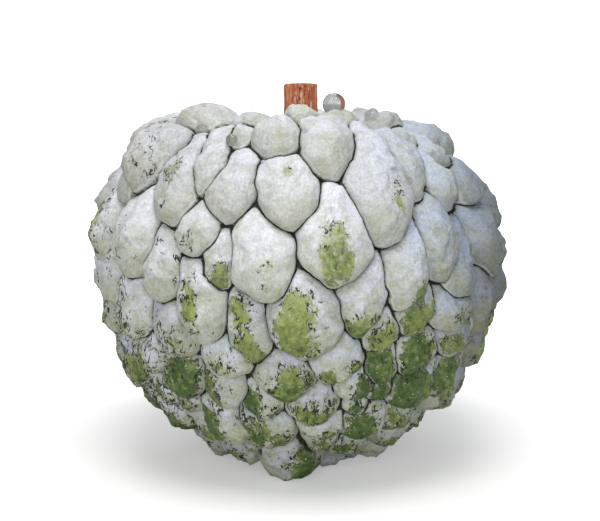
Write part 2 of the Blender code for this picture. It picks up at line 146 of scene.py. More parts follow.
# Where the bloom is rubbed off the listed carpels. Carpel number, place across and along
# it, half width and half length, all as shares of the carpel's half size, and strength.
RUBS = (
    (23, -0.08, 0.38, 0.30, 0.55, 1.0), (33, -0.22, 0.25, 0.42, 0.62, 1.1),
    (32, -0.10, 0.05, 0.24, 0.42, 0.9), (26, 0.20, 0.60, 0.55, 0.42, 1.0),
    (34, -0.15, -0.45, 0.55, 0.38, 0.75), (34, -0.05, 0.45, 0.55, 0.40, 0.85),
    (51, 0.22, 0.38, 0.55, 0.52, 1.0), (52, 0.05, 0.30, 0.75, 0.45, 0.8),
    (28, 0.00, 0.72, 0.75, 0.28, 0.9), (41, 0.00, 0.20, 0.70, 0.55, 0.75),
    (43, -0.25, 0.45, 0.30, 0.30, 0.8), (43, 0.60, 0.55, 0.25, 0.40, 0.8),
    (27, 0.60, 0.60, 0.35, 0.32, 0.95), (40, 0.00, 0.25, 0.80, 0.75, 1.0),
    (44, -0.10, 0.10, 0.70, 0.85, 1.1), (46, -0.25, 0.00, 0.70, 0.90, 1.2),
    (47, -0.15, 0.15, 0.75, 0.85, 1.3), (48, 0.05, 0.05, 0.85, 0.85, 1.2),
    (45, -0.20, 0.30, 0.60, 0.50, 0.7), (49, -0.10, 0.10, 0.70, 0.70, 0.95),
    (50, 0.25, 0.25, 0.50, 0.60, 0.85), (60, 0.00, 0.20, 0.60, 0.60, 0.75),
    (61, -0.12, 0.15, 0.60, 0.65, 1.2), (62, 0.00, 0.20, 0.70, 0.60, 0.8),
    (66, -0.35, 0.10, 0.40, 0.55, 0.95), (66, 0.50, 0.45, 0.35, 0.35, 0.8),
    (53, -0.55, 0.10, 0.40, 0.80, 1.0), (53, 0.45, 0.60, 0.35, 0.35, 0.8),
    (55, -0.55, 0.20, 0.40, 0.70, 0.85), (56, 0.15, 0.08, 0.62, 0.80, 1.25),
    (67, -0.50, 0.10, 0.42, 0.80, 0.95), (70, 0.62, 0.05, 0.36, 0.80, 1.0),
    (22, -0.30, 0.25, 0.45, 0.55, 0.95), (36, -0.20, 0.20, 0.50, 0.60, 0.95),
    (6, 0.30, 0.20, 0.30, 0.30, 0.50), (10, -0.35, -0.45, 0.40, 0.25, 0.55),
    (13, -0.10, -0.20, 0.30, 0.30, 0.55), (16, 0.30, 0.35, 0.22, 0.30, 0.50),
    (54, -0.20, 0.35, 0.45, 0.40, 0.55), (38, 0.20, 0.45, 0.50, 0.40, 0.55),
    (37, -0.30, 0.40, 0.50, 0.45, 0.60), (57, -0.20, 0.30, 0.55, 0.50, 0.60),
    (58, 0.00, 0.20, 0.60, 0.60, 0.70), (59, 0.00, 0.20, 0.60, 0.60, 0.80),
    (64, 0.00, 0.20, 0.55, 0.55, 0.70), (65, -0.10, 0.20, 0.60, 0.55, 0.85),
    (63, 0.10, 0.40, 0.60, 0.45, 0.70), (68, -0.10, 0.20, 0.60, 0.60, 0.75),
    (42, 0.20, 0.50, 0.50, 0.35, 0.50), (39, 0.10, 0.30, 0.40, 0.35, 0.55),
    (15, -0.05, -0.20, 0.18, 0.22, 0.42), (25, 0.15, 0.45, 0.25, 0.30, 0.42),
)
RUB_SEED = 11

# Water drops: azimuth, latitude, radius, squash of the height, lift off the skin in radii.
DROPS = (
    (-27.5, 49, 1.35, 0.85, 0.2), (-51, 53, 1.4, 0.75, 0.35), (49, 61, 1.6, 0.65, 0.15),
    (33, 69, 2.5, 0.98, 0.55), (-12, 42, 0.6, 0.8, 0.1), (3, 51, 0.6, 0.8, 0.1),
)

LUMP_SEED = 3
BARK_SEED = 5
SEED_STRIDE = (0.31, 0.17, 0.23)   # metres that the lumps' noise moves for one seed more
STALK_FLARE = 0.0007            # metres that the foot of the stalk is wider
CUT_TILT = math.radians(12)

# Colours that are mixed into those that a user picks.
GREEN_DOT = (0.62, 0.66, 0.46)
OLIVE_STAIN = (0.29, 0.30, 0.115)
# painted shade beside the creases
CREASE_SHADE = (0.20, 0.23, 0.14)
# painted highlight along the lower ends of the carpels
LIP_HIGHLIGHT = (0.66, 0.69, 0.66)
SEAT_TINT = (0.20, 0.17, 0.10)
WARM_BARK = (0.58, 0.19, 0.085)
BARK_CRACK = (0.05, 0.018, 0.010)
BARK_FLECK = (0.80, 0.60, 0.46)
WOOD_RING = (0.22, 0.11, 0.05)
# grey tint of the water: a painted darkening that stands in for the drops' dark reflections
GREYED_WATER = (0.86, 0.88, 0.87)

# The stage, in metres.
WORLD_COLOUR = (0.96, 0.98, 1.0)
WORLD_STRENGTH = 0.36
# name, place, size, watts, colour
LIGHTS = (
    ("key", (-0.01, -0.16, 0.62), 0.34, 2.60, (1.0, 0.995, 0.98)),
    ("fill", (0.55, -0.22, 0.22), 0.30, 0.18, (0.62, 0.74, 1.0)),
    ("low", (-0.10, -0.60, 0.10), 0.50, 2.30, (1.0, 1.0, 0.99)),
    ("back", (-0.05, 0.46, 0.52), 0.40, 0.9, (0.94, 0.96, 1.0)),
)
FLOOR_PAINT = (0.76, 0.76, 0.75)
FLOOR_REACH = 14.0              # to both sides and forwards
FLOOR_BEND_START = 0.9          # how far back the floor starts to curve up
FLOOR_BEND = 0.6                # radius of the curve
FLOOR_TOP = 2.5
NEAR_GLOW = 0.315               # lifts the floor to white without lighting the fruit from below
FAR_GLOW = 0.95                 # the same away from the fruit
GLOW_CHANGE = (0.04, 0.19)      # distances from the origin between which it changes; the weaker glow near the fruit paints a shadow round its foot
CAMERA_DISTANCE = 0.420
CAMERA_LIFT = math.radians(12)
CAMERA_LENS = 110.9
CAMERA_SHIFT = (0.0017, 0.0208)

COLUMN_WIDTH, ROW_HEIGHT = 220, 260    # of the nodes, where a tree is laid out


# ---------------------------------------------------------------- what a user would change
def factor_property(name, description, default, least, most):
    """A share without a unit."""
    return bpy.props.FloatProperty(name=name, description=description, default=default,
                                   min=least, max=most, subtype="FACTOR")


def length_property(name, description, default, least, most, precision=5):
    """A length in metres."""
    return bpy.props.FloatProperty(name=name, description=description, default=default,
                                   min=least, max=most, unit="LENGTH", precision=precision)


def colour_property(name, description, default):
    """A colour as a user picks it."""
    return bpy.props.FloatVectorProperty(
        name=name, description=description, subtype="COLOR", size=3, min=0, max=1, default=default)


class CustardAppleSizes(bpy.types.PropertyGroup):
    """Sizes of the fruit, its stalk and its drops."""

    lobe_height: factor_property(
        "Lobe height", "How far a carpel swells out between its creases", 1.0, 0.0, 1.3)
    lobe_fullness: bpy.props.FloatProperty(
        name="Lobe fullness", description="2 is a round shoulder, more is a fuller one",
        default=4.6, min=1.5, max=6.0)
    lobe_wall: factor_property(
        "Lobe wall", "Small is an upright wall at the crease, 1 a plain slope", 0.36, 0.2, 1.0)
    lobe_lean: factor_property(
        "Lobe lean", "How far a carpel's face sags, per unit of its height", 0.32, 0.0, 0.5)
    waviness: length_property(
        "Waviness", "How far creases and faces wander from a smooth line", 0.00085, 0.0, 0.0015)
    wave_length: length_property(
        "Wave length", "Distance from wave to wave on the skin", 0.0046, 0.001, 0.02, 4)
    lump_height: length_property(
        "Lump height", "Height of the small lumps on a carpel's face", 0.00092, 0.0, 0.0015)
    stalk_radius: length_property(
        "Stalk radius", "Radius in the middle of the stalk", 0.0037, 0.002, 0.006, 4)
    stalk_top: length_property(
        "Stalk top", "Height of the cut above the rest plane", 0.0848, 0.075, 0.1, 4)
    bark_relief: length_property(
        "Bark relief", "Depth of the furrows in the stalk's bark", 0.00032, 0.0, 0.001)
    drop_size: factor_property(
        "Drop size", "Size of the water drops, as a share of the usual", 1.0, 0.2, 1.5)


class CustardAppleColours(bpy.types.PropertyGroup):
    """Colours of the skin, its bloom and the bark."""

    bloom: colour_property("Bloom", "Thick wax bloom on top of a carpel", (0.705, 0.705, 0.76))
    # Cool bloom is painted shade: a darker, bluer bloom on the side away from the light and low down
    shaded_bloom: colour_property(
        "Cool bloom", "Bluer bloom on the side away from the light", (0.435, 0.50, 0.635))
    # Thin bloom is partly painted shade, darkening each carpel's lower end and the lower fruit
    thin_bloom_and_shade: colour_property(
        "Thin bloom", "Thin bloom low on a carpel", (0.44, 0.46, 0.385))
    skin: colour_property("Skin", "Green skin where the bloom is rubbed off", (0.27, 0.325, 0.082))
    # Deep skin also serves as painted shade towards the creases and each carpel's lower end
    deep_skin_and_shade: colour_property("Deep skin", "Darker green low on the fruit", (0.036, 0.082, 0.003))
    # Crease is painted shade: the dark line at the bottom of a crease
    crease: colour_property("Crease", "The bottom of a crease", (0.012, 0.014, 0.010))
    scar: colour_property("Scar", "Fine dark cracks and specks", (0.016, 0.018, 0.010))
    bark: colour_property("Bark", "Reddish brown bark", (0.40, 0.11, 0.045))
    pale_bark: colour_property("Pale bark", "Pale streaks in the bark", (0.66, 0.36, 0.20))
    cut_wood: colour_property("Cut wood", "Cut end of the stalk", (0.50, 0.33, 0.18))


# ---------------------------------------------------------------- carpels on the body
def envelope(latitude):
    """Distance of the outer envelope from the body centre."""
    angles = [point[0] for point in PROFILE]
    radii = [point[1] for point in PROFILE]
    soft = [np.interp(latitude + offset, angles, radii) for offset in (-6, -3, 0, 3, 6)]
    return (soft[0] + 2 * soft[1] + 3 * soft[2] + 2 * soft[3] + soft[4]) / 9


def direction(azimuth, latitude):
    """Unit vectors for azimuth and latitude in degrees."""
    turn, lift = np.radians(azimuth), np.radians(latitude)
    return np.stack([np.cos(lift) * np.sin(turn), -np.cos(lift) * np.cos(turn), np.sin(lift)], -1)


def unit(vectors):
    """The same vectors, one long."""
    return vectors / np.linalg.norm(vectors, axis=-1, keepdims=True)


class Carpels:
    """Centres, tangent frames and half sizes of a set of carpels."""

    def __init__(self, rows):
        """Rows are laid out like the rows of CARPELS."""
        rows = np.array(rows, float)
        self.rows = rows
        self.centre = direction(rows[:, 0], rows[:, 1])
        turn = np.radians(rows[:, 0])
        east = np.stack([np.cos(turn), np.sin(turn), 0 * turn], -1)
        south = np.cross(east, self.centre)
        twist = np.radians(rows[:, 4])[:, None]
        self.across = np.cos(twist) * east - np.sin(twist) * south
        self.along = np.cos(twist) * south + np.sin(twist) * east
        self.half_width = rows[:, 2] / 2
        self.half_length = rows[:, 3] / 2
        self.rise = rows[:, 5]

    def __len__(self):
        return len(self.rows)

    def plane(self, index, points):
        """Distances across and along carpel index of unit vectors points."""
        centre = self.centre[index]
        cosine = np.clip((points * centre).sum(-1), -1, 1)
        angle = np.arccos(cosine)
        stretch = ARC_SCALE * angle / np.maximum(np.sin(angle), 1e-6)
        across = stretch * (points * self.across[index]).sum(-1)
        along = stretch * (points * self.along[index]).sum(-1)
        return across, along

    def bulge(self, index, points):
        """Height of the broad bulge of carpel index: the highest one owns the skin."""
        across, along = self.plane(index, points)
        u = across / self.half_width[index]
        v = along / self.half_length[index]
        reach = np.where(v < 0, v / TUCKED_TOP, v)
        edge = 1 - u * u - reach * reach
        steep = 1 + STEEPER_TIP * np.clip(v, -0.6, 1.5)
        size = BULGE * np.sqrt(self.half_width[index] * self.half_length[index])
        return size * (edge * steep + OVERLAP * np.tanh(2.5 * v))

    def owner(self, points):
        """Number of the carpel that owns each of the unit vectors points."""
        best = np.full(len(points), -np.inf)
        label = np.zeros(len(points), int)
        for index in range(len(self)):
            value = self.bulge(index, points)
            better = value > best
            best[better] = value[better]
            label[better] = index
        return label


def natural_size(latitude):
    """Usual width and length of a carpel at a latitude."""
    width = np.interp(latitude, (-90, -60, -20, 20, 60, 90), (8.5, 10.5, 12.5, 14.0, 12.5, 10.0))
    length = np.interp(latitude, (-90, -60, -20, 20, 60, 90), (8.5, 11.0, 14.5, 20.0, 15.0, 10.0))
    return width, length


def fill_rows():
    """Rows for every carpel: the stalk's seat, the listed ones and those placed by rule."""
    rows = [STALK_SEAT] + [list(row) for row in CARPELS]
    fixed = len(rows)
    golden = math.pi * (3 - math.sqrt(5))
    for step in range(FILL_TRIES):
        height = 1 - 2 * (step + 0.5) / FILL_TRIES
        latitude = math.degrees(math.asin(height))
        azimuth = (math.degrees(golden * step) + 360 * FILL_SEED_TURN) % 360
        width, length = natural_size(latitude)
        here = Carpels([(azimuth, latitude, width, length, 0, 0)])
        others = Carpels(rows)
        across, along = here.plane(0, others.centre)
        reach_across = width / 2 + others.half_width
        reach_along = length / 2 + others.half_length
        apart = np.hypot(across / reach_across, along / reach_along)
        if apart.min() > FILL_GAP:
            rows.append([azimuth, latitude, width, length, 0, 0])
    return rows, fixed


def even_out(rows, fixed):
    """Move the carpels placed by rule to the middle of their own cells."""
    points, _ = sphere_points(COARSE_BALL)
    for _ in range(FILL_ROUNDS):
        carpels = Carpels(rows)
        label = carpels.owner(points)
        for index in range(fixed, len(rows)):
            own = points[label == index]
            if len(own) == 0:
                continue
            middle = unit(own.mean(0))
            latitude = math.degrees(math.asin(middle[2]))
            azimuth = math.degrees(math.atan2(middle[0], -middle[1]))
            width, length = natural_size(latitude)
            rows[index] = [azimuth, latitude, width, length, 0, 0]
    return rows


def sphere_points(subdivisions):
    """Vertices and faces of a dense ball, for labelling."""
    mesh = bmesh.new()
    bmesh.ops.create_icosphere(mesh, subdivisions=subdivisions, radius=1.0)
    points = unit(np.array([vertex.co[:] for vertex in mesh.verts]))
    faces = np.array([[vertex.index for vertex in face.verts] for face in mesh.faces])
    mesh.free()
    return points, faces


def tangents(points):
    """Two unit tangents at each unit vector."""
    helper = np.where(np.abs(points[:, 2:3]) < 0.9, [[0.0, 0.0, 1.0]], [[1.0, 0.0, 0.0]])
    first = unit(np.cross(helper, points))
    return first, np.cross(points, first)


def find_junctions(carpels, points, faces):
    """Unit vectors where three carpels meet, with the three carpels of each."""
    label = carpels.owner(points)
    corner = np.sort(label[faces], axis=1)
    three = (corner[:, 0] != corner[:, 1]) & (corner[:, 1] != corner[:, 2])
    triples = corner[three]
    places = unit(points[faces[three]].mean(1))
    if len(np.unique(triples, axis=0)) != len(triples):
        raise RuntimeError("three carpels meet twice")
    a, b, c = triples.T
    for _ in range(JUNCTION_ROUNDS):
        first, second = tangents(places)

        def gaps(where):
            base = carpels.bulge(a, where)
            return np.stack([base - carpels.bulge(b, where), base - carpels.bulge(c, where)], -1)

        here = gaps(places)
        by_first = (gaps(unit(places + NUDGE * first)) - here) / NUDGE
        by_second = (gaps(unit(places + NUDGE * second)) - here) / NUDGE
        matrix = np.stack([by_first, by_second], -1)
        move = -np.linalg.solve(matrix, here[..., None])[..., 0]
        size = np.linalg.norm(move, axis=1, keepdims=True)
        move *= np.minimum(1, LARGEST_MOVE / np.maximum(size, 1e-12))
        places = unit(places + move[:, :1] * first + move[:, 1:] * second)
    return places, triples


def trace_creases(carpels, places, triples):
    """Points along every crease between two junctions, and each carpel's loop of creases."""
    members = {}
    for number, triple in enumerate(triples):
        for index in triple:
            members.setdefault(int(index), []).append(number)
    points = list(places)
    creases = {}
    loops = {}
    for index, numbers in sorted(members.items()):
        ring, borders = walk_round(index, numbers, triples)
        across, along = carpels.plane(index, places[ring])
        turned = across * np.roll(along, -1) - np.roll(across, -1) * along
        if turned.sum() > 0:
            ring = ring[:1] + ring[:0:-1]
            borders = borders[::-1]
        loop = []
        for here, there, other in zip(ring, ring[1:] + ring[:1], borders):
            key = (min(here, there), max(here, there), min(index, other), max(index, other))
            if key not in creases:
                creases[key] = crease_points(carpels, key, places, points)
            between = creases[key]
            loop += [here] + (between if here == key[0] else between[::-1])
        loops[index] = loop
    return np.array(points), loops


def walk_round(index, numbers, triples):
    """The junctions of one carpel in order, with the neighbour met after each."""
    ends = {}
    for number in numbers:
        for other in set(map(int, triples[number])) - {index}:
            ends.setdefault(other, []).append(number)
    if any(len(pair) != 2 for pair in ends.values()):
        raise RuntimeError("carpel %d has a broken edge" % index)
    here = numbers[0]
    other = min(set(map(int, triples[here])) - {index})
    ring, borders = [], []
    while True:
        ring.append(here)
        borders.append(other)
        here = sum(ends[other]) - here
        if here == ring[0]:
            return ring, borders
        other = (set(map(int, triples[here])) - {index, other}).pop()


def crease_points(carpels, key, places, points):
    """Add the points between two junctions to points and return their numbers."""
    start, end, one, two = key
    first, last = places[start], places[end]
    length = ARC_SCALE * math.acos(min(1.0, float(first @ last)))
    count = max(0, round(length * CREASE_DETOUR / CREASE_STEP) - 1)
    if count == 0:
        return []
    share = (np.arange(count) + 1) / (count + 1)
    base = unit(first + share[:, None] * (last - first))
    side = unit(np.cross(base, last - first))
    offset = np.zeros(count)
    ones, twos = np.full(count, one), np.full(count, two)
    for _ in range(CREASE_ROUNDS):
        def gap(amount):
            where = unit(base + amount[:, None] * side)
            return carpels.bulge(ones, where) - carpels.bulge(twos, where)

        here = gap(offset)
        slope = (gap(offset + NUDGE) - here) / NUDGE
        change = np.clip(-here / np.where(np.abs(slope) < 1e-6, 1e-6, slope),
                         -LARGEST_MOVE, LARGEST_MOVE)
        offset = np.clip(offset + change, -WIDEST_DETOUR, WIDEST_DETOUR)
    numbers = list(range(len(points), len(points) + count))
    points += list(unit(base + offset[:, None] * side))
    return numbers


def body_frame(points):
    """Places on the creased body, its normals and its downward directions."""
    latitude = np.degrees(np.arcsin(np.clip(points[:, 2], -1, 1)))
    rim = np.exp(-((latitude - RIM_LATITUDE) / RIM_SPREAD) ** 2)
    front = -points[:, 1] / math.cos(math.radians(RIM_LATITUDE))
    radius = envelope(latitude) - RELIEF + FRONT_RISE * rim * front
    slope = (envelope(latitude + 0.5) - envelope(latitude - 0.5)) / math.radians(1.0)
    level = np.hypot(points[:, 0], points[:, 1])
    safe = np.maximum(level, 1e-6)
    north = np.stack([-points[:, 0] * points[:, 2] / safe, -points[:, 1] * points[:, 2] / safe,
                      level], -1)
    outward = unit(points * radius[:, None] - north * slope[:, None])
    south = -unit(north * radius[:, None] + points * slope[:, None])
    fade = np.clip(level / LEAN_FADE, 0, 1)[:, None]
    return points * radius[:, None] + (0, 0, CENTRE_HEIGHT), outward, fade * south


def depth_inside(carpels, index, neighbours, points):
    """Soft distance of points inside carpel index from its creases."""
    first, second = tangents(points)
    closeness = np.zeros(len(points))
    for other in neighbours:
        def gap(where):
            return carpels.bulge(index, where) - carpels.bulge(other, where)

        here = gap(points)
        slope = np.hypot(gap(unit(points + NUDGE * first)) - here,
                         gap(unit(points + NUDGE * second)) - here) / NUDGE / ARC_SCALE
        distance = np.maximum(here, 0) / np.maximum(slope, SLOPE_FLOOR)
        closeness += np.exp(-distance / CORNER_ROUNDING)
    return np.maximum(-CORNER_ROUNDING * np.log(closeness), 0)


def rub_rows(carpels, fixed):
    """RUBS, and a rub or two for each carpel placed by rule, more of them low down."""
    rows = list(RUBS)
    dice = np.random.default_rng(RUB_SEED)
    for index in range(fixed, len(carpels)):
        latitude = carpels.rows[index, 1]
        wear = float(np.interp(latitude, (-70, -20, 20, 60), (1.0, 0.85, 0.45, 0.25)))
        for _ in range(2):
            u, v = dice.uniform(-0.55, 0.55), dice.uniform(-0.2, 0.75)
            width, length = dice.uniform(0.2, 0.65), dice.uniform(0.3, 0.7)
            strength = wear * dice.uniform(0.45, 1.25)
            rows.append((index, u, v, width, length, strength))
    return rows


def rubbed_field(rubs, across, along):
    """How strongly the bloom is rubbed off at places across and along one carpel."""
    field = np.zeros(len(across))
    for _, u, v, width, length, strength in rubs:
        far = ((across - u) / width) ** 2 + ((along - v) / length) ** 2
        field = np.maximum(field, strength * np.exp(-0.7 * far))
    return field


POINT_VALUES = ("bulge", "fullness", "rise", "depth", "low_end", "rubbed", "tone")


def carpel_mesh():
    """The creased body as a mesh, with what the carpel tree needs as point attributes."""
    ball, ball_faces = sphere_points(FINE_BALL)
    rows, fixed = fill_rows()
    carpels = Carpels(even_out(rows, fixed))
    places, triples = find_junctions(carpels, ball, ball_faces)
    if len(places) != 2 * len(carpels) - 4:
        raise RuntimeError("%d junctions for %d carpels" % (len(places), len(carpels)))
    crease, loops = trace_creases(carpels, places, triples)
    rubs = {}
    for row in rub_rows(carpels, fixed):
        rubs.setdefault(row[0], []).append(row)
    dice = np.random.default_rng(RUB_SEED + 1)
    tones = dice.uniform(0, 1, len(carpels))
    owner = carpels.owner(crease)
    across, along = carpels.plane(owner, crease)
    bulge = np.maximum(carpels.bulge(owner, crease), LOWEST_CREASE)
    zero = np.zeros(len(crease))
    low_end = along / carpels.half_length[owner]
    rubbed_crease = np.zeros(len(crease))
    points = [crease]
    values = [np.stack([bulge, zero, zero, zero, low_end, zero, tones[owner]], -1)]
    total = len(crease)
    faces = []
    share = np.cos(np.pi / 2 * np.arange(1, RINGS) / RINGS)
    for index, loop in loops.items():
        across, along = carpels.plane(index, crease[loop])
        edge = np.stack([across, along], -1)
        own = rubbed_field(rubs.get(index, ()), across / carpels.half_width[index],
                           along / carpels.half_length[index])
        rubbed_crease[loop] = np.maximum(rubbed_crease[loop], own)
        middle = edge.mean(0)
        flat = [middle + part * (edge - middle) for part in share] + [middle[None]]
        flat = np.concatenate(flat)
        angle = np.linalg.norm(flat, axis=1) / ARC_SCALE
        spread = np.sin(angle) / np.maximum(angle, 1e-9) / ARC_SCALE
        inner = (carpels.centre[index] * np.cos(angle)[:, None]
                 + carpels.across[index] * (flat[:, :1] * spread[:, None])
                 + carpels.along[index] * (flat[:, 1:] * spread[:, None]))
        touching = {int(label) for number in loop if number < len(triples)
                    for label in triples[number]} - {index}
        inside = depth_inside(carpels, index, sorted(touching), inner)
        reach = np.percentile(inside, FULL_REACH)
        fullness = np.clip(inside / reach, 0, 1.15)
        half = math.sqrt(carpels.half_width[index] * carpels.half_length[index])
        bulge = np.maximum(carpels.bulge(index, inner), LOWEST_CREASE)
        top = SWELL * min(reach * HEIGHT_REACH, half) + carpels.rise[index]
        if index == 0:
            bulge, top = np.full(len(inner), LOWEST_CREASE), 0
        u, v = flat[:, 0] / carpels.half_width[index], flat[:, 1] / carpels.half_length[index]
        rubbed = rubbed_field(rubs.get(index, ()), u, v)
        same = np.ones(len(inner))
        points.append(inner)
        values.append(np.stack([bulge, fullness, top * same, inside, v, rubbed,
                                tones[index] * same], -1))
        count = len(loop)
        rings = [list(loop)] + [list(range(total + ring * count, total + (ring + 1) * count))
                                for ring in range(RINGS - 1)]
        centre = total + (RINGS - 1) * count
        for outer, within in zip(rings, rings[1:]):
            for side in range(count):
                after = (side + 1) % count
                faces.append((outer[side], outer[after], within[after]))
                faces.append((outer[side], within[after], within[side]))
        for side in range(count):
            faces.append((rings[-1][side], rings[-1][(side + 1) % count], centre))
        total += len(inner)
    values[0][:, POINT_VALUES.index("rubbed")] = rubbed_crease
    points, values = np.concatenate(points), np.concatenate(values)
    place, outward, downward = body_frame(points)
    mesh = bpy.data.meshes.new("carpel_cells")
    mesh.from_pydata((place / 1000).tolist(), [], faces)
    for column, name in enumerate(POINT_VALUES):
        store(mesh, name, "FLOAT", values[:, column])
    store(mesh, "outward", "FLOAT_VECTOR", outward)
    store(mesh, "downward", "FLOAT_VECTOR", downward)
    latitude = np.degrees(np.arcsin(np.clip(points[:, 2], -1, 1)))
    store(mesh, "seat", "FLOAT", np.clip((latitude - SEAT_LATITUDE) / SEAT_SPAN, 0, 1))
    return mesh


def store(mesh, name, kind, values):
    """Keep one value for each point of mesh as a named attribute."""
    layer = mesh.attributes.new(name, kind, "POINT")
    field = "vector" if kind == "FLOAT_VECTOR" else "value"
    layer.data.foreach_set(field, np.ascontiguousarray(values, dtype=np.float32).ravel())


# ---------------------------------------------------------------- building node trees
class Signal:
    """An output of a node. Plain arithmetic on it adds Math nodes to its own tree."""

    def __init__(self, socket):
        self.socket = socket

    def __add__(self, other):
        return math_node("ADD", self, other)

    def __sub__(self, other):
        return math_node("SUBTRACT", self, other)

    def __rsub__(self, other):
        return math_node("SUBTRACT", other, self)

    def __mul__(self, other):
        return math_node("MULTIPLY", self, other)

    def __rtruediv__(self, other):
        return math_node("DIVIDE", other, self)

    def __pow__(self, other):
        return math_node("POWER", self, other)

    def __neg__(self):
        return math_node("MULTIPLY", self, -1.0)

    def __abs__(self):
        return math_node("ABSOLUTE", self)


def feed(value, socket):
    """Link a signal to a socket, or set the socket to a plain value."""
    if isinstance(value, Signal):
        socket.id_data.links.new(value.socket, socket)
    else:
        socket.default_value = value


def tree_of(*values):
    """The tree of the first signal among values."""
    return next(value.socket.id_data for value in values if isinstance(value, Signal))


def put(tree, kind, inputs=(), out=0, **settings):
    """Add a node, feed its inputs by name or in order, and return one of its outputs."""
    node = tree.nodes.new(kind)
    for name, value in settings.items():
        setattr(node, name, value)
    for key, value in inputs.items() if isinstance(inputs, dict) else enumerate(inputs):
        feed(value, node.inputs[key])
    return Signal(node.outputs[out])


def math_node(operation, *inputs):
    """A Math node."""
    return put(tree_of(*inputs), "ShaderNodeMath", inputs, operation=operation)


def larger(first, second):
    """The larger of two numbers."""
    return math_node("MAXIMUM", first, second)


def clamped(signal):
    """The signal of a Math node, now held between 0 and 1."""
    signal.socket.node.use_clamp = True
    return signal


def vector_node(operation, *inputs, out=0):
    """A Vector Math node."""
    return put(tree_of(*inputs), "ShaderNodeVectorMath", inputs, out, operation=operation)


def scaled(vector, factor):
    """vector times factor."""
    return put(tree_of(vector, factor), "ShaderNodeVectorMath", {0: vector, "Scale": factor},
               operation="SCALE")


def join(x, y, z):
    """A vector made of three numbers."""
    return put(tree_of(x, y, z), "ShaderNodeCombineXYZ", (x, y, z))


def split(vector):
    """The three numbers of a vector."""
    node = put(tree_of(vector), "ShaderNodeSeparateXYZ", (vector,)).socket.node
    return [Signal(part) for part in node.outputs]


def step_up(value, low, high):
    """Rises smoothly from 0 at low to 1 at high."""
    return put(tree_of(value), "ShaderNodeMapRange",
               {"Value": value, "From Min": low, "From Max": high},
               interpolation_type="SMOOTHSTEP")


def step_down(value, low, high):
    """Falls smoothly from 1 at low to 0 at high."""
    return 1.0 - step_up(value, low, high)


def rgb(colour):
    """A plain colour with full alpha. A signal stays as it is."""
    return colour if isinstance(colour, Signal) else (*colour, 1.0)


def blend(factor, first, second):
    """Mix of two colours."""
    return put(tree_of(factor), "ShaderNodeMix", {0: factor, 6: rgb(first), 7: rgb(second)}, 2,
               data_type="RGBA")


def new_tree(name, kind, inputs, outputs):
    """An empty tree with named inputs and outputs. Inputs are (name, socket, default, subtype)."""
    tree = bpy.data.node_groups.new(name, kind)
    for label, socket, default, subtype in inputs:
        item = tree.interface.new_socket(label, in_out="INPUT", socket_type="NodeSocket" + socket)
        if subtype:
            item.subtype = subtype
        if default is not None:
            item.default_value = default
    for label, socket in outputs:
        tree.interface.new_socket(label, in_out="OUTPUT", socket_type="NodeSocket" + socket)
    start = tree.nodes.new("NodeGroupInput")
    end = tree.nodes.new("NodeGroupOutput")
    return tree, {socket.name: Signal(socket) for socket in start.outputs}, end.inputs


def new_geometry_tree(name, inputs):
    """A geometry tree that takes a geometry and a material besides the named inputs."""
    first, last = ("Geometry", "Geometry", None, None), ("Material", "Material", None, None)
    return new_tree(name, "GeometryNodeTree", (first, *inputs, last), (("Geometry", "Geometry"),))


def lay_out(tree):
    """Put the nodes in columns, each to the left of those that it feeds."""
    column = {node.name: 0 for node in tree.nodes}
    for _ in range(len(tree.nodes)):
        changed = False
        for link in tree.links:
            wanted = column[link.to_node.name] + 1
            if column[link.from_node.name] < wanted:
                column[link.from_node.name] = wanted
                changed = True
        if not changed:
            break
    filled = {}
    for node in tree.nodes:
        place = column[node.name]
        node.location = (-COLUMN_WIDTH * place, -ROW_HEIGHT * filled.get(place, 0))
        filled[place] = filled.get(place, 0) + 1


def attribute(tree, name, kind="FLOAT"):
    """A named attribute inside a geometry tree."""
    return put(tree, "GeometryNodeInputNamedAttribute", {"Name": name}, data_type=kind)


def finish_tree(tree, geometry, material, end):
    """End a geometry tree: smooth faces, real instances and the material."""
    geometry = put(tree, "GeometryNodeSetShadeSmooth", {0: geometry})
    geometry = put(tree, "GeometryNodeRealizeInstances", {0: geometry})
    geometry = put(tree, "GeometryNodeSetMaterial", {"Geometry": geometry, "Material": material})
    feed(geometry, end[0])
    lay_out(tree)
    return tree


def grow(name, mesh, tree, values, spare=()):
    """Run tree over mesh with the named values and return the result as a plain object."""
    thing = bpy.data.objects.new(name, mesh)
    bpy.context.scene.collection.objects.link(thing)
    modifier = thing.modifiers.new(tree.name, "NODES")
    modifier.node_group = tree
    for item in tree.interface.items_tree:
        if item.in_out == "INPUT" and item.name in values:
            modifier[item.identifier] = values[item.name]
    thing.update_tag()
    graph = bpy.context.evaluated_depsgraph_get()
    result = bpy.data.meshes.new_from_object(thing.evaluated_get(graph), depsgraph=graph)
    thing.modifiers.remove(modifier)
    thing.data = result
    result.name = name
    bpy.data.meshes.remove(mesh)
    for layer in spare:
        if layer in result.attributes:
            result.attributes.remove(result.attributes[layer])
    if len(result.polygons) == 0:
        raise RuntimeError("%s came out empty" % name)
    return thing


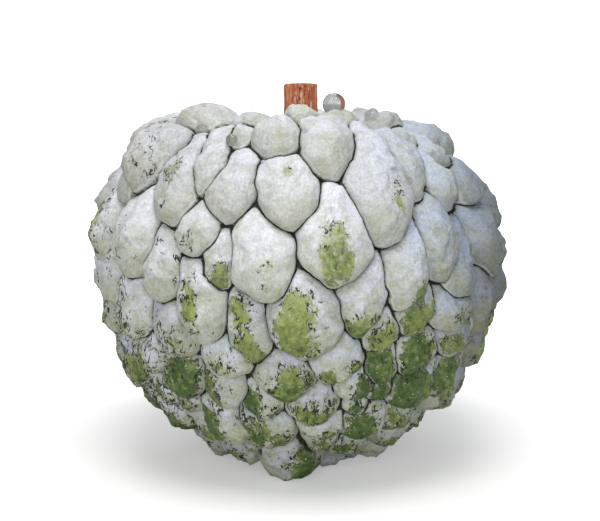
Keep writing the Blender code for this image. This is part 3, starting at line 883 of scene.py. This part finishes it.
# ---------------------------------------------------------------- geometry trees
def carpel_tree():
    """Swells every carpel of the creased body and makes its surface lumpy."""
    tree, given, end = new_geometry_tree("Swollen carpels", (
        ("Lobe height", "Float", 1.0, "FACTOR"),
        ("Lobe fullness", "Float", 4.6, None),
        ("Lobe wall", "Float", 0.36, "FACTOR"),
        ("Lobe lean", "Float", 0.32, "FACTOR"),
        ("Waviness", "Float", 0.00085, "DISTANCE"),
        ("Wave length", "Float", 0.0046, "DISTANCE"),
        ("Lump height", "Float", 0.00092, "DISTANCE"),
        ("Body lean", "Float", BODY_LEAN_X, None),
        ("Body centre", "Float", CENTRE_HEIGHT / 1000, "DISTANCE"),
        ("Shift", "Vector", (0, 0, 0), "TRANSLATION"),
        ("Seed", "Int", LUMP_SEED, None),
    ))
    # height over the creased body: a broad bulge, then a dome that stands up from the creases
    missing = abs(1.0 - attribute(tree, "fullness"))
    dome = larger(1.0 - missing ** given["Lobe fullness"], 0.0) ** given["Lobe wall"]
    swell = attribute(tree, "rise") * given["Lobe height"] * dome
    height = (attribute(tree, "bulge") + swell) * 0.001

    # small lumps on the domes
    position = put(tree, "GeometryNodeInputPosition")
    shifted = vector_node("ADD", position, scaled(SEED_STRIDE, given["Seed"]))
    frequency = 1.0 / given["Wave length"]
    lump = put(tree, "ShaderNodeTexNoise", {"Vector": shifted, "Scale": frequency * 1.7,
                                            "Detail": 4.0, "Roughness": 0.60})
    height = height + (lump - 0.5) * 3.2 * given["Lump height"] * dome

    # swell outwards and sag downwards, then wander sideways
    down = scaled(attribute(tree, "downward", "FLOAT_VECTOR"), given["Lobe lean"])
    way = vector_node("ADD", attribute(tree, "outward", "FLOAT_VECTOR"), down)
    place = vector_node("ADD", position, scaled(way, height))
    wave = put(tree, "ShaderNodeTexNoise", {"Vector": shifted, "Scale": frequency,
                                            "Detail": 1.0, "Roughness": 0.5}, "Color")
    wave = vector_node("SUBTRACT", wave, (0.5, 0.5, 0.5))
    place = vector_node("ADD", place, scaled(wave, given["Waviness"] * 3.0))

    # the upper half leans to one side, and what would be under the rest plane is flat
    x, y, z = split(place)
    lean = larger(z - given["Body centre"], 0.0) * given["Body lean"]
    place = vector_node("ADD", join(x + lean, y, larger(z, 0.0)), given["Shift"])
    geometry = put(tree, "GeometryNodeSetPosition", {"Geometry": given["Geometry"],
                                                     "Position": place})
    return finish_tree(tree, geometry, given["Material"], end)


def stalk_tree():
    """A furrowed stem swept along a line, flared at its foot and cut across at the top."""
    tree, given, end = new_geometry_tree("Cut stalk", (
        ("Foot", "Float", 0.07, "DISTANCE"),
        ("Top", "Float", 0.085, "DISTANCE"),
        ("Radius", "Float", 0.0037, "DISTANCE"),
        ("Flare", "Float", STALK_FLARE, "DISTANCE"),
        ("Cut tilt", "Float", CUT_TILT, "ANGLE"),
        ("Bark relief", "Float", 0.00032, "DISTANCE"),
        ("Place", "Vector", (0, 0, 0), "TRANSLATION"),
        ("Seed", "Int", BARK_SEED, None),
    ))
    line = put(tree, "GeometryNodeCurvePrimitiveLine", {"Start": join(0.0, 0.0, given["Foot"]),
                                                        "End": join(0.0, 0.0, given["Top"])})
    line = put(tree, "GeometryNodeResampleCurve", {"Curve": line, "Count": 72})
    along = put(tree, "GeometryNodeSplineParameter")
    radius = given["Radius"] + (1.0 - along) ** 3.0 * given["Flare"]
    line = put(tree, "GeometryNodeStoreNamedAttribute", {"Geometry": line, "Name": "along",
                                                         "Value": along}, data_type="FLOAT")
    ring = put(tree, "GeometryNodeCurvePrimitiveCircle", {"Resolution": 144, "Radius": 1.0})
    stem = put(tree, "GeometryNodeCurveToMesh", {"Curve": line, "Profile Curve": ring,
                                                 "Fill Caps": True, "Scale": radius})
    position = put(tree, "GeometryNodeInputPosition")
    x, y, z = split(position)
    spoke = vector_node("NORMALIZE", join(x, y, 0.0))
    grain, knots = (
        put(tree, "ShaderNodeTexNoise", {"Vector": vector, "Scale": scale, "Detail": detail,
                                         "W": given["Seed"]}, noise_dimensions="4D")
        for vector, scale, detail in ((join(x, y, z * 0.22), 900.0, 3.0), (position, 260.0, 2.0)))
    relief = (grain + knots * 1.2 - 1.1) * given["Bark relief"]
    tilt = y * math_node("TANGENT", given["Cut tilt"]) * attribute(tree, "along")
    move = vector_node("ADD", scaled(spoke, relief), join(0.0, 0.0, -tilt))
    move = vector_node("ADD", move, given["Place"])
    stem = put(tree, "GeometryNodeSetPosition", {"Geometry": stem, "Offset": move})
    return finish_tree(tree, stem, given["Material"], end)


def drop_tree():
    """A flattened bead of water on every point, standing on the skin."""
    tree, given, end = new_geometry_tree("Water drops", (("Size", "Float", 1.0, "FACTOR"),))
    bead = put(tree, "GeometryNodeMeshUVSphere", {"Segments": 40, "Rings": 24, "Radius": 1.0})
    points = put(tree, "GeometryNodeMeshToPoints", {"Mesh": given["Geometry"]})
    turn = put(tree, "FunctionNodeAlignRotationToVector",
               {"Vector": attribute(tree, "facing", "FLOAT_VECTOR")}, axis="Z")
    radius = attribute(tree, "radius_mm") * given["Size"] * 0.001
    size = join(radius, radius, radius * attribute(tree, "squash"))
    beads = put(tree, "GeometryNodeInstanceOnPoints", {"Points": points, "Instance": bead,
                                                       "Rotation": turn, "Scale": size})
    return finish_tree(tree, beads, given["Material"], end)


# ---------------------------------------------------------------- shader groups
def noise(vector, size_mm, detail=3.0, roughness=0.55, shift=0.0):
    """Noise whose features are about size_mm across. Each shift gives another pattern."""
    return put(tree_of(vector), "ShaderNodeTexNoise",
               {"Vector": vector, "Scale": 1.0 / size_mm, "W": shift, "Detail": detail,
                "Roughness": roughness}, noise_dimensions="4D")


def position_mm(tree):
    """Object coordinates in millimetres."""
    return scaled(put(tree, "ShaderNodeTexCoord", out="Object"), 1000.0)


def point_value(tree, name):
    """A value kept on the piece's points."""
    return put(tree, "ShaderNodeAttribute", out="Fac", attribute_name=name)


def crack_group():
    """Fine broken lines and specks, as on a dried wax coat or old bark."""
    tree, given, end = new_tree("Fine cracks", "ShaderNodeTree", (
        ("Vector", "Vector", (0, 0, 0), None),
        ("Cell size", "Float", 2.0, None),
        ("Line width", "Float", 0.006, None),
        ("Amount", "Float", 0.5, "FACTOR"),
    ), (("Cracks", "Float"), ("Specks", "Float")))
    vector, amount = given["Vector"], given["Amount"]
    # lines run where a noise passes its middle, and show only inside patches
    line = put(tree, "ShaderNodeTexNoise", {"Vector": vector, "Scale": 1.0 / given["Cell size"],
                                            "Detail": 2.5, "Roughness": 0.58, "Distortion": 0.5})
    line = step_down(abs(line - 0.5), given["Line width"], given["Line width"] * 1.7)
    patch = (noise(vector, 1.5, 3.0, 0.6, shift=4.0) * 0.45
             + noise(vector, 5.5, 2.0, 0.5, shift=14.0) * 0.55)
    threshold = 0.68 - amount * 0.30
    feed(line * step_up(patch, threshold, threshold + 0.04), end["Cracks"])
    speck = noise(vector, 0.42, 2.0, shift=9.0) * 0.75 + noise(vector, 5.0, 2.0, shift=2.0) * 0.35
    threshold = 0.79 - amount * 0.18
    feed(step_up(speck, threshold, threshold + 0.03), end["Specks"])
    lay_out(tree)
    return tree


def bloom_group():
    """How much wax bloom is left: ragged where it was rubbed, thinner low on a carpel, which is
    partly painted shading.
    """
    tree, given, end = new_tree("Wax bloom", "ShaderNodeTree", (
        ("Vector", "Vector", (0, 0, 0), None),
        ("Rubbed", "Float", 0.0, "FACTOR"),
        ("Low end", "Float", 0.0, None),
        ("Height", "Float", 40.0, None),
    ), (("Cover", "Float"), ("Thinness_and_shade", "Float"), ("Edge", "Float")))
    vector, rubbed = given["Vector"], given["Rubbed"]
    # a ragged border round what was rubbed
    ragged = noise(vector, 3.2, 5.0, 0.62) * 2.1 + noise(vector, 0.6, 3.0, 0.6, shift=6.0) * 0.75
    worn = step_up(rubbed, 0.0, 0.4) * 0.7 + 0.3
    field = (ragged - 1.425) * worn + rubbed
    feed(step_down(field, 0.45, 0.52), end["Cover"])
    feed(step_down(abs(field - 0.44), 0.02, 0.34), end["Edge"])
    # thinner in patches and beside what was rubbed; low on a carpel and low on the fruit it is partly
    # thinner bloom, partly painted shade
    under = step_down(given["Height"], 8.0, 76.0)
    thin_and_shade = step_up(given["Low end"], -0.9, 1.1) * (under * 0.32 + 0.46) + under * 0.16
    smudge = noise(vector, 3.6, 5.0, 0.66, shift=1.0)
    patches = step_up(under * 0.10 + smudge, 0.51, 0.57)
    thin_and_shade = thin_and_shade + (smudge - 0.48) * 1.5
    thin_and_shade = patches * (under * 0.30 + 0.08) + thin_and_shade
    feed(clamped(thin_and_shade + step_up(field, 0.05, 0.5) * 0.36), end["Thinness_and_shade"])
    lay_out(tree)
    return tree


def use_group(tree, group, **values):
    """Place a group, feed its inputs by name (underscores stand for spaces), return its outputs."""
    node = tree.nodes.new("ShaderNodeGroup")
    node.node_tree = group
    for name, value in values.items():
        feed(value, node.inputs[name.replace("_", " ").capitalize()])
    return {socket.name: Signal(socket) for socket in node.outputs}


def shared_group(name, build):
    """The node group called name, built once."""
    return bpy.data.node_groups.get(name) or build()


# ---------------------------------------------------------------- materials
def new_material(name):
    """An empty node material, its tree and its Principled shader."""
    material = bpy.data.materials.new(name)
    material.use_nodes = True
    tree = material.node_tree
    return material, tree, tree.nodes["Principled BSDF"]


def finish_material(shader, inputs):
    """Feed the shader's own sockets and lay out its tree."""
    for name, value in inputs.items():
        feed(value, shader.inputs[name])
    lay_out(shader.id_data)


def bump(height, strength, distance=0.001):
    """A normal that follows height."""
    return put(tree_of(height), "ShaderNodeBump",
               {"Strength": strength, "Distance": distance, "Height": height})


def skin_material(colours, cracks, bloom):
    """Green skin under a matt grey-white bloom."""
    material, tree, shader = new_material("bloomed_green_skin")
    vector = position_mm(tree)
    depth, low_end, rubbed, tone, seat = (
        point_value(tree, name) for name in ("depth", "low_end", "rubbed", "tone", "seat"))
    x, y, height = split(vector)
    under = step_down(height, 18.0, 62.0)

    # where the bloom is left: less in a mottle low down, more beside the creases
    kept = step_down(depth, 0.15, 0.75) * -0.26 + rubbed
    mottle = step_up(noise(vector, 2.6, 3.0, 0.6, shift=21.0), 0.50, 0.66)
    kept = mottle * step_down(height, 8.0, 40.0) * 0.30 + kept
    coat = use_group(tree, bloom, vector=vector, rubbed=kept, low_end=low_end, height=height)
    cover, edge = coat["Cover"], coat["Edge"]

    # dark cracks and specks: more low down, on the left and round what was rubbed
    amount = edge * 0.54 + (under * 0.34 + step_up(-x, 5.0, 40.0) * 0.40 + 0.08)
    lines = use_group(tree, cracks, vector=join(x, y, height * 0.55), cell_size=1.9,
                      line_width=0.020, amount=amount)
    marks = larger(lines["Cracks"], lines["Specks"]) * 0.97

    # bare skin: deeper green low down and in the middle of a rub, and painted shade that darkens it
    # towards the creases and each carpel's lower end
    green_noise = noise(vector, 1.4, 5.0, 0.70, shift=3.0)
    deep_green_and_shade = step_down(height, 10.0, 62.0) * 0.62 + step_up(rubbed, 0.40, 1.05) * 0.42
    deep_green_and_shade = step_up(low_end, -0.5, 0.9) * 0.30 + deep_green_and_shade + green_noise * 3.4
    deep_green_and_shade = tone * 0.40 + (step_down(depth, 0.4, 3.6) * 0.42 + deep_green_and_shade)
    green = blend(clamped(deep_green_and_shade - 2.16), colours.skin, colours.deep_skin_and_shade)
    dots = put(tree, "ShaderNodeTexVoronoi", {"Vector": vector, "Scale": 0.70}, feature="F1")
    green = blend(step_down(dots, 0.075, 0.14) * 0.85, green, GREEN_DOT)

    # bloom: painted shade makes it darker and bluer on the right and low down; olive stains, more of
    # them towards each carpel's lower end
    shade_right_and_low = larger(step_up(x, 0.0, 38.0) * 0.95, under * 0.70)
    white = blend(shade_right_and_low, colours.bloom, colours.shaded_bloom)
    # thinner bloom, partly painted shade on each carpel's lower end and low on the fruit
    white = blend(coat["Thinness_and_shade"], white, colours.thin_bloom_and_shade)
    stain = step_up(noise(vector, 2.8, 5.0, 0.66, shift=23.0), 0.47, 0.63)
    stain = step_up(low_end, -0.3, 0.9) * 0.22 + stain * (under * 0.30 + 0.17)
    white = blend(stain, white, OLIVE_STAIN)

    # grain and smudges of the bloom, and painted shade that darkens the right side and the upper left
    grain = noise(vector, 0.55, 3.0, 0.6, shift=7.0)
    grain_tone_and_shade = tone * 0.16 + 0.90 + (grain - 0.5) * 0.85
    smudge = step_up(noise(vector, 2.2, 5.0, 0.68, shift=18.0), 0.56, 0.70)
    smudge_and_right_shade = smudge * (under * 0.30 + 0.13) + step_up(x, 24.0, 46.0) * 0.52
    upper_left_shade = step_up(-x, 0.0, 25.0) * (1.0 - under)
    grain_tone_and_shade = grain_tone_and_shade * (1.0 - (upper_left_shade * 0.09 + smudge_and_right_shade))
    white = vector_node("MULTIPLY", white, join(grain_tone_and_shade, grain_tone_and_shade, grain_tone_and_shade))

    # bloom over skin, with a thin veil and loose flakes over the bare places
    veil = step_up(noise(vector, 1.1, 4.0, 0.62, shift=16.0), 0.36, 0.66)
    veil = veil * (step_up(height, 38.0, 68.0) * 0.58 + 0.12)
    flakes = step_up(noise(vector, 0.5, 2.0, 0.6, shift=17.0), 0.56, 0.61) * (edge * 0.95)
    colour = blend(larger(cover, larger(veil, flakes)), green, white)
    colour = blend(marks, colour, colours.scar)
    rim = cover * (1.0 - cover) * step_up(green_noise, 0.42, 0.60)
    colour = blend(rim * 2.6, colour, colours.scar)

    # creases: painted shade as a soft dark green border and a dark line at the bottom, and a painted
    # highlight as a pale lip on the lower ends
    wander = noise(vector, 0.9, 3.0, 0.6, shift=15.0) * -0.34 + (depth + 0.17)
    wander = step_down(low_end, -0.9, 0.1) * -0.08 + wander
    colour = blend(step_down(wander, 0.06, 0.55) * 0.34, colour, CREASE_SHADE)
    # painted highlight: a pale lip along each carpel's lower end
    lip_highlight = step_up(wander, 0.15, 0.26) * step_down(wander, 0.32, 0.60)
    colour = blend(lip_highlight * (step_up(low_end, 0.0, 0.6) * 0.62), colour, LIP_HIGHLIGHT)
    # painted shade: a dark line at the bottom of each crease
    colour = blend(step_down(wander, 0.03, 0.14) * 0.96, colour, colours.crease)
    colour = blend(seat * 0.8, colour, SEAT_TINT)

    relief = noise(vector, 0.45, 3.0, 0.6, shift=5.0) * 0.09
    relief = noise(vector, 1.3, 4.0, 0.6, shift=8.0) * 0.95 + relief
    relief = marks * -0.10 + (cover * 0.06 + relief)
    finish_material(shader, {"Base Color": colour, "Roughness": cover * 0.34 + 0.44,
                             "Specular IOR Level": 0.35, "Normal": bump(relief, 0.8)})
    return material


def bark_material(colours, cracks):
    """Reddish bark with pale streaks and dark specks, and bare wood where it is cut."""
    material, tree, shader = new_material("reddish_bark")
    vector = position_mm(tree)
    x, y, z = split(vector)
    drawn = join(x, y, z * 0.16)
    streak = noise(drawn, 0.8, 4.0, 0.6)
    blotch = noise(vector, 1.6, 3.0, 0.6, shift=2.0)
    colour = blend(step_up(blotch, 0.35, 0.65), colours.bark, WARM_BARK)
    colour = blend(step_up(streak, 0.52, 0.68) * 0.75, colour, colours.pale_bark)
    lines = use_group(tree, cracks, vector=drawn, cell_size=0.9, line_width=0.012, amount=0.62)
    dark = larger(lines["Cracks"], lines["Specks"])
    colour = blend(dark * 0.9, colour, BARK_CRACK)
    flecks = step_up(noise(drawn, 0.34, 2.0, 0.5, shift=12.0), 0.58, 0.64)
    colour = blend(flecks * 0.8, colour, BARK_FLECK)

    # rings of wood where the face looks up
    facing_up = split(put(tree, "ShaderNodeNewGeometry", out="Normal"))[2]
    ring = vector_node("LENGTH", join(x, y, 0.0), out="Value") + blotch * 0.5
    ring = math_node("SINE", ring * 7.5) * 0.15 + 0.3
    wood = blend(ring, colours.cut_wood, WOOD_RING)
    colour = blend(step_up(facing_up, 0.6, 0.85), colour, wood)
    relief = streak * 0.25 + dark * -0.15
    finish_material(shader, {"Base Color": colour, "Roughness": 0.78,
                             "Specular IOR Level": 0.3, "Normal": bump(relief, 0.9)})
    return material


def water_material():
    """Clear water, tinted grey as a painted darkening that stands in for the drops' dark reflections.
    """
    material, tree, shader = new_material("clear_water")
    ripple = bump(noise(position_mm(tree), 0.9, 2.0), 0.45, 0.0005)
    finish_material(shader, {"Base Color": rgb(GREYED_WATER), "Transmission Weight": 1.0,
                             "Roughness": 0.0, "IOR": 1.333, "Normal": ripple})
    return material


# ---------------------------------------------------------------- pieces
class AddFruit(bpy.types.Operator):
    """Make the fruit: one skin of swollen carpels"""

    bl_idname = "custard_apple.add_fruit"
    bl_label = "Add fruit"
    bl_options = {"REGISTER", "UNDO"}

    def execute(self, context):
        """Build the creased body, swell it and give it its skin."""
        sizes, colours = context.scene.custard_apple_sizes, context.scene.custard_apple_colours
        material = skin_material(colours, shared_group("Fine cracks", crack_group),
                                 shared_group("Wax bloom", bloom_group))
        values = {
            "Lobe height": sizes.lobe_height, "Lobe fullness": sizes.lobe_fullness,
            "Lobe wall": sizes.lobe_wall, "Lobe lean": sizes.lobe_lean,
            "Waviness": sizes.waviness, "Wave length": sizes.wave_length,
            "Lump height": sizes.lump_height, "Body lean": BODY_LEAN_X,
            "Body centre": CENTRE_HEIGHT / 1000, "Shift": (SHIFT_X / 1000, SHIFT_Y / 1000, 0),
            "Seed": LUMP_SEED, "Material": material,
        }
        fruit = grow("Custard_apple_fruit", carpel_mesh(), carpel_tree(), values,
                     ("bulge", "fullness", "rise", "outward", "downward"))
        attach(fruit, "root")
        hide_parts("fruit")
        return {"FINISHED"}


class AddStalk(bpy.types.Operator):
    """Make the short cut stalk in the dish on top"""

    bl_idname = "custard_apple.add_stalk"
    bl_label = "Add stalk"
    bl_options = {"REGISTER", "UNDO"}

    def execute(self, context):
        """Sweep the stem between the foot and the cut of the CAD node."""
        sizes, colours = context.scene.custard_apple_sizes, context.scene.custard_apple_colours
        low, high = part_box("stalk")
        values = {
            "Foot": low[2], "Top": sizes.stalk_top, "Radius": sizes.stalk_radius,
            "Flare": STALK_FLARE, "Cut tilt": CUT_TILT, "Bark relief": sizes.bark_relief,
            "Place": ((low[0] + high[0]) / 2, (low[1] + high[1]) / 2, 0), "Seed": BARK_SEED,
            "Material": bark_material(colours, shared_group("Fine cracks", crack_group)),
        }
        stalk = grow("Custard_apple_stalk", bpy.data.meshes.new("stalk_seed"), stalk_tree(), values,
                     ("along",))
        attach(stalk, "root")
        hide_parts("stalk")
        return {"FINISHED"}


class AddDrops(bpy.types.Operator):
    """Make the water drops that sit on the skin"""

    bl_idname = "custard_apple.add_drops"
    bl_label = "Add water drops"
    bl_options = {"REGISTER", "UNDO"}

    def execute(self, context):
        """Find the skin below each drop and stand a bead of water on it."""
        fruit = context.scene.objects.get("Custard_apple_fruit")
        if fruit is None:
            raise RuntimeError("the drops need the fruit first")
        vertices = [vertex.co.copy() for vertex in fruit.data.vertices]
        faces = [tuple(face.vertices) for face in fruit.data.polygons]
        skin = BVHTree.FromPolygons(vertices, faces)
        middle = Vector((0, 0, CENTRE_HEIGHT / 1000))
        places, facing = [], []
        for azimuth, latitude, radius, _, lift in DROPS:
            way = Vector(direction(azimuth, latitude))
            hit, normal, _, _ = skin.ray_cast(middle + way * 0.1, -way)
            if hit is None:
                raise RuntimeError("a drop misses the skin")
            places.append((hit + normal * radius * lift / 1000)[:])
            facing.append(normal[:])
        mesh = bpy.data.meshes.new("drop_places")
        mesh.from_pydata(places, [], [])
        store(mesh, "facing", "FLOAT_VECTOR", facing)
        store(mesh, "radius_mm", "FLOAT", [row[2] for row in DROPS])
        store(mesh, "squash", "FLOAT", [row[3] for row in DROPS])
        values = {"Size": context.scene.custard_apple_sizes.drop_size,
                  "Material": water_material()}
        drops = grow("Water_drops", mesh, drop_tree(), values, ("facing", "radius_mm", "squash"))
        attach(drops, "root")
        return {"FINISHED"}


class AddStage(bpy.types.Operator):
    """Make the pale floor, the soft lights and the camera"""

    bl_idname = "custard_apple.add_stage"
    bl_label = "Add stage"
    bl_options = {"REGISTER", "UNDO"}

    def execute(self, context):
        """Set the fruit on a seamless white floor under soft light."""
        scene = context.scene
        scene.view_settings.view_transform = "Standard"
        world = bpy.data.worlds.new("studio")
        world.use_nodes = True
        background = world.node_tree.nodes["Background"]
        background.inputs["Color"].default_value = rgb(WORLD_COLOUR)
        background.inputs["Strength"].default_value = WORLD_STRENGTH
        scene.world = world
        make_floor()
        for row in LIGHTS:
            add_light(*row)
        add_camera(scene)
        return {"FINISHED"}


def make_floor():
    """A wide white floor that curves up behind the fruit and glows for the camera, less near the
    fruit, which paints a shadow round its foot.
    """
    bend = [(FLOOR_BEND_START + FLOOR_BEND * math.sin(turn), FLOOR_BEND - FLOOR_BEND * math.cos(turn))
            for turn in np.linspace(0, math.pi / 2, 24)]
    profile = [(-FLOOR_REACH, 0.0), *bend, (FLOOR_BEND_START + FLOOR_BEND, FLOOR_TOP)]
    vertices = [(side, y, z) for y, z in profile for side in (-FLOOR_REACH, FLOOR_REACH)]
    faces = [(2 * row, 2 * row + 1, 2 * row + 3, 2 * row + 2) for row in range(len(profile) - 1)]
    mesh = bpy.data.meshes.new("floor")
    mesh.from_pydata(vertices, [], faces)
    mesh.shade_smooth()
    floor = bpy.data.objects.new("Floor", mesh)
    bpy.context.scene.collection.objects.link(floor)
    material, tree, shader = new_material("white_floor")
    seen = put(tree, "ShaderNodeLightPath", out="Is Camera Ray")
    vector = put(tree, "ShaderNodeTexCoord", out="Object")
    far = step_up(vector_node("LENGTH", vector, out="Value"), *GLOW_CHANGE)
    # camera-only glow, weaker near the fruit: a painted shadow round its foot
    glow = seen * (far * (FAR_GLOW - NEAR_GLOW) + NEAR_GLOW)
    finish_material(shader, {"Base Color": rgb(FLOOR_PAINT), "Roughness": 0.9,
                             "Emission Color": (1, 1, 1, 1), "Emission Strength": glow})
    mesh.materials.append(material)
    return floor


def add_light(name, place, size, power, colour):
    """A square soft light that faces the middle of the fruit."""
    light = bpy.data.lights.new(name, "AREA")
    light.size = size
    light.energy = power
    light.color = colour
    lamp = bpy.data.objects.new(name, light)
    lamp.location = place
    aim = Vector((0, 0, CENTRE_HEIGHT / 1000))
    lamp.rotation_euler = (aim - Vector(place)).to_track_quat("-Z", "Y").to_euler()
    bpy.context.scene.collection.objects.link(lamp)


def add_camera(scene):
    """The camera, a little above the fruit and looking at its middle."""
    aim = Vector((SHIFT_X / 1000, SHIFT_Y / 1000, CENTRE_HEIGHT / 1000))
    back = Vector((0, -math.cos(CAMERA_LIFT), math.sin(CAMERA_LIFT)))
    camera = bpy.data.cameras.new("camera")
    camera.sensor_width = 36
    camera.lens = CAMERA_LENS
    camera.shift_x, camera.shift_y = CAMERA_SHIFT
    camera.clip_start = 0.01
    thing = bpy.data.objects.new("camera", camera)
    thing.location = aim + CAMERA_DISTANCE * back
    thing.rotation_euler = (-back).to_track_quat("-Z", "Y").to_euler()
    scene.collection.objects.link(thing)
    scene.camera = thing


class CustardApplePanel(bpy.types.Panel):
    """Sizes, colours and the buttons that build the custard apple"""

    bl_idname = "VIEW3D_PT_custard_apple"
    bl_label = "Custard apple"
    bl_space_type = "VIEW_3D"
    bl_region_type = "UI"
    bl_category = "Custard apple"

    def draw(self, context):
        """List the settings, then the operators in building order."""
        scene = context.scene
        for group in (scene.custard_apple_sizes, scene.custard_apple_colours):
            column = self.layout.column()
            for name in group.__annotations__:
                column.prop(group, name)
        for operator in OPERATORS:
            self.layout.operator(operator.bl_idname)


OPERATORS = (AddFruit, AddStalk, AddDrops, AddStage)
CLASSES = (CustardAppleSizes, CustardAppleColours, *OPERATORS, CustardApplePanel)


def register():
    """Register the classes and hang the settings on the scene."""
    for item in CLASSES:
        bpy.utils.register_class(item)
    bpy.types.Scene.custard_apple_sizes = bpy.props.PointerProperty(type=CustardAppleSizes)
    bpy.types.Scene.custard_apple_colours = bpy.props.PointerProperty(type=CustardAppleColours)


def unregister():
    """Undo register."""
    del bpy.types.Scene.custard_apple_colours
    del bpy.types.Scene.custard_apple_sizes
    for item in reversed(CLASSES):
        bpy.utils.unregister_class(item)


def main():
    """Build everything in order."""
    register()
    bpy.ops.custard_apple.add_fruit()
    bpy.ops.custard_apple.add_stalk()
    bpy.ops.custard_apple.add_drops()
    bpy.ops.custard_apple.add_stage()


if __name__ == "__main__":
    main()
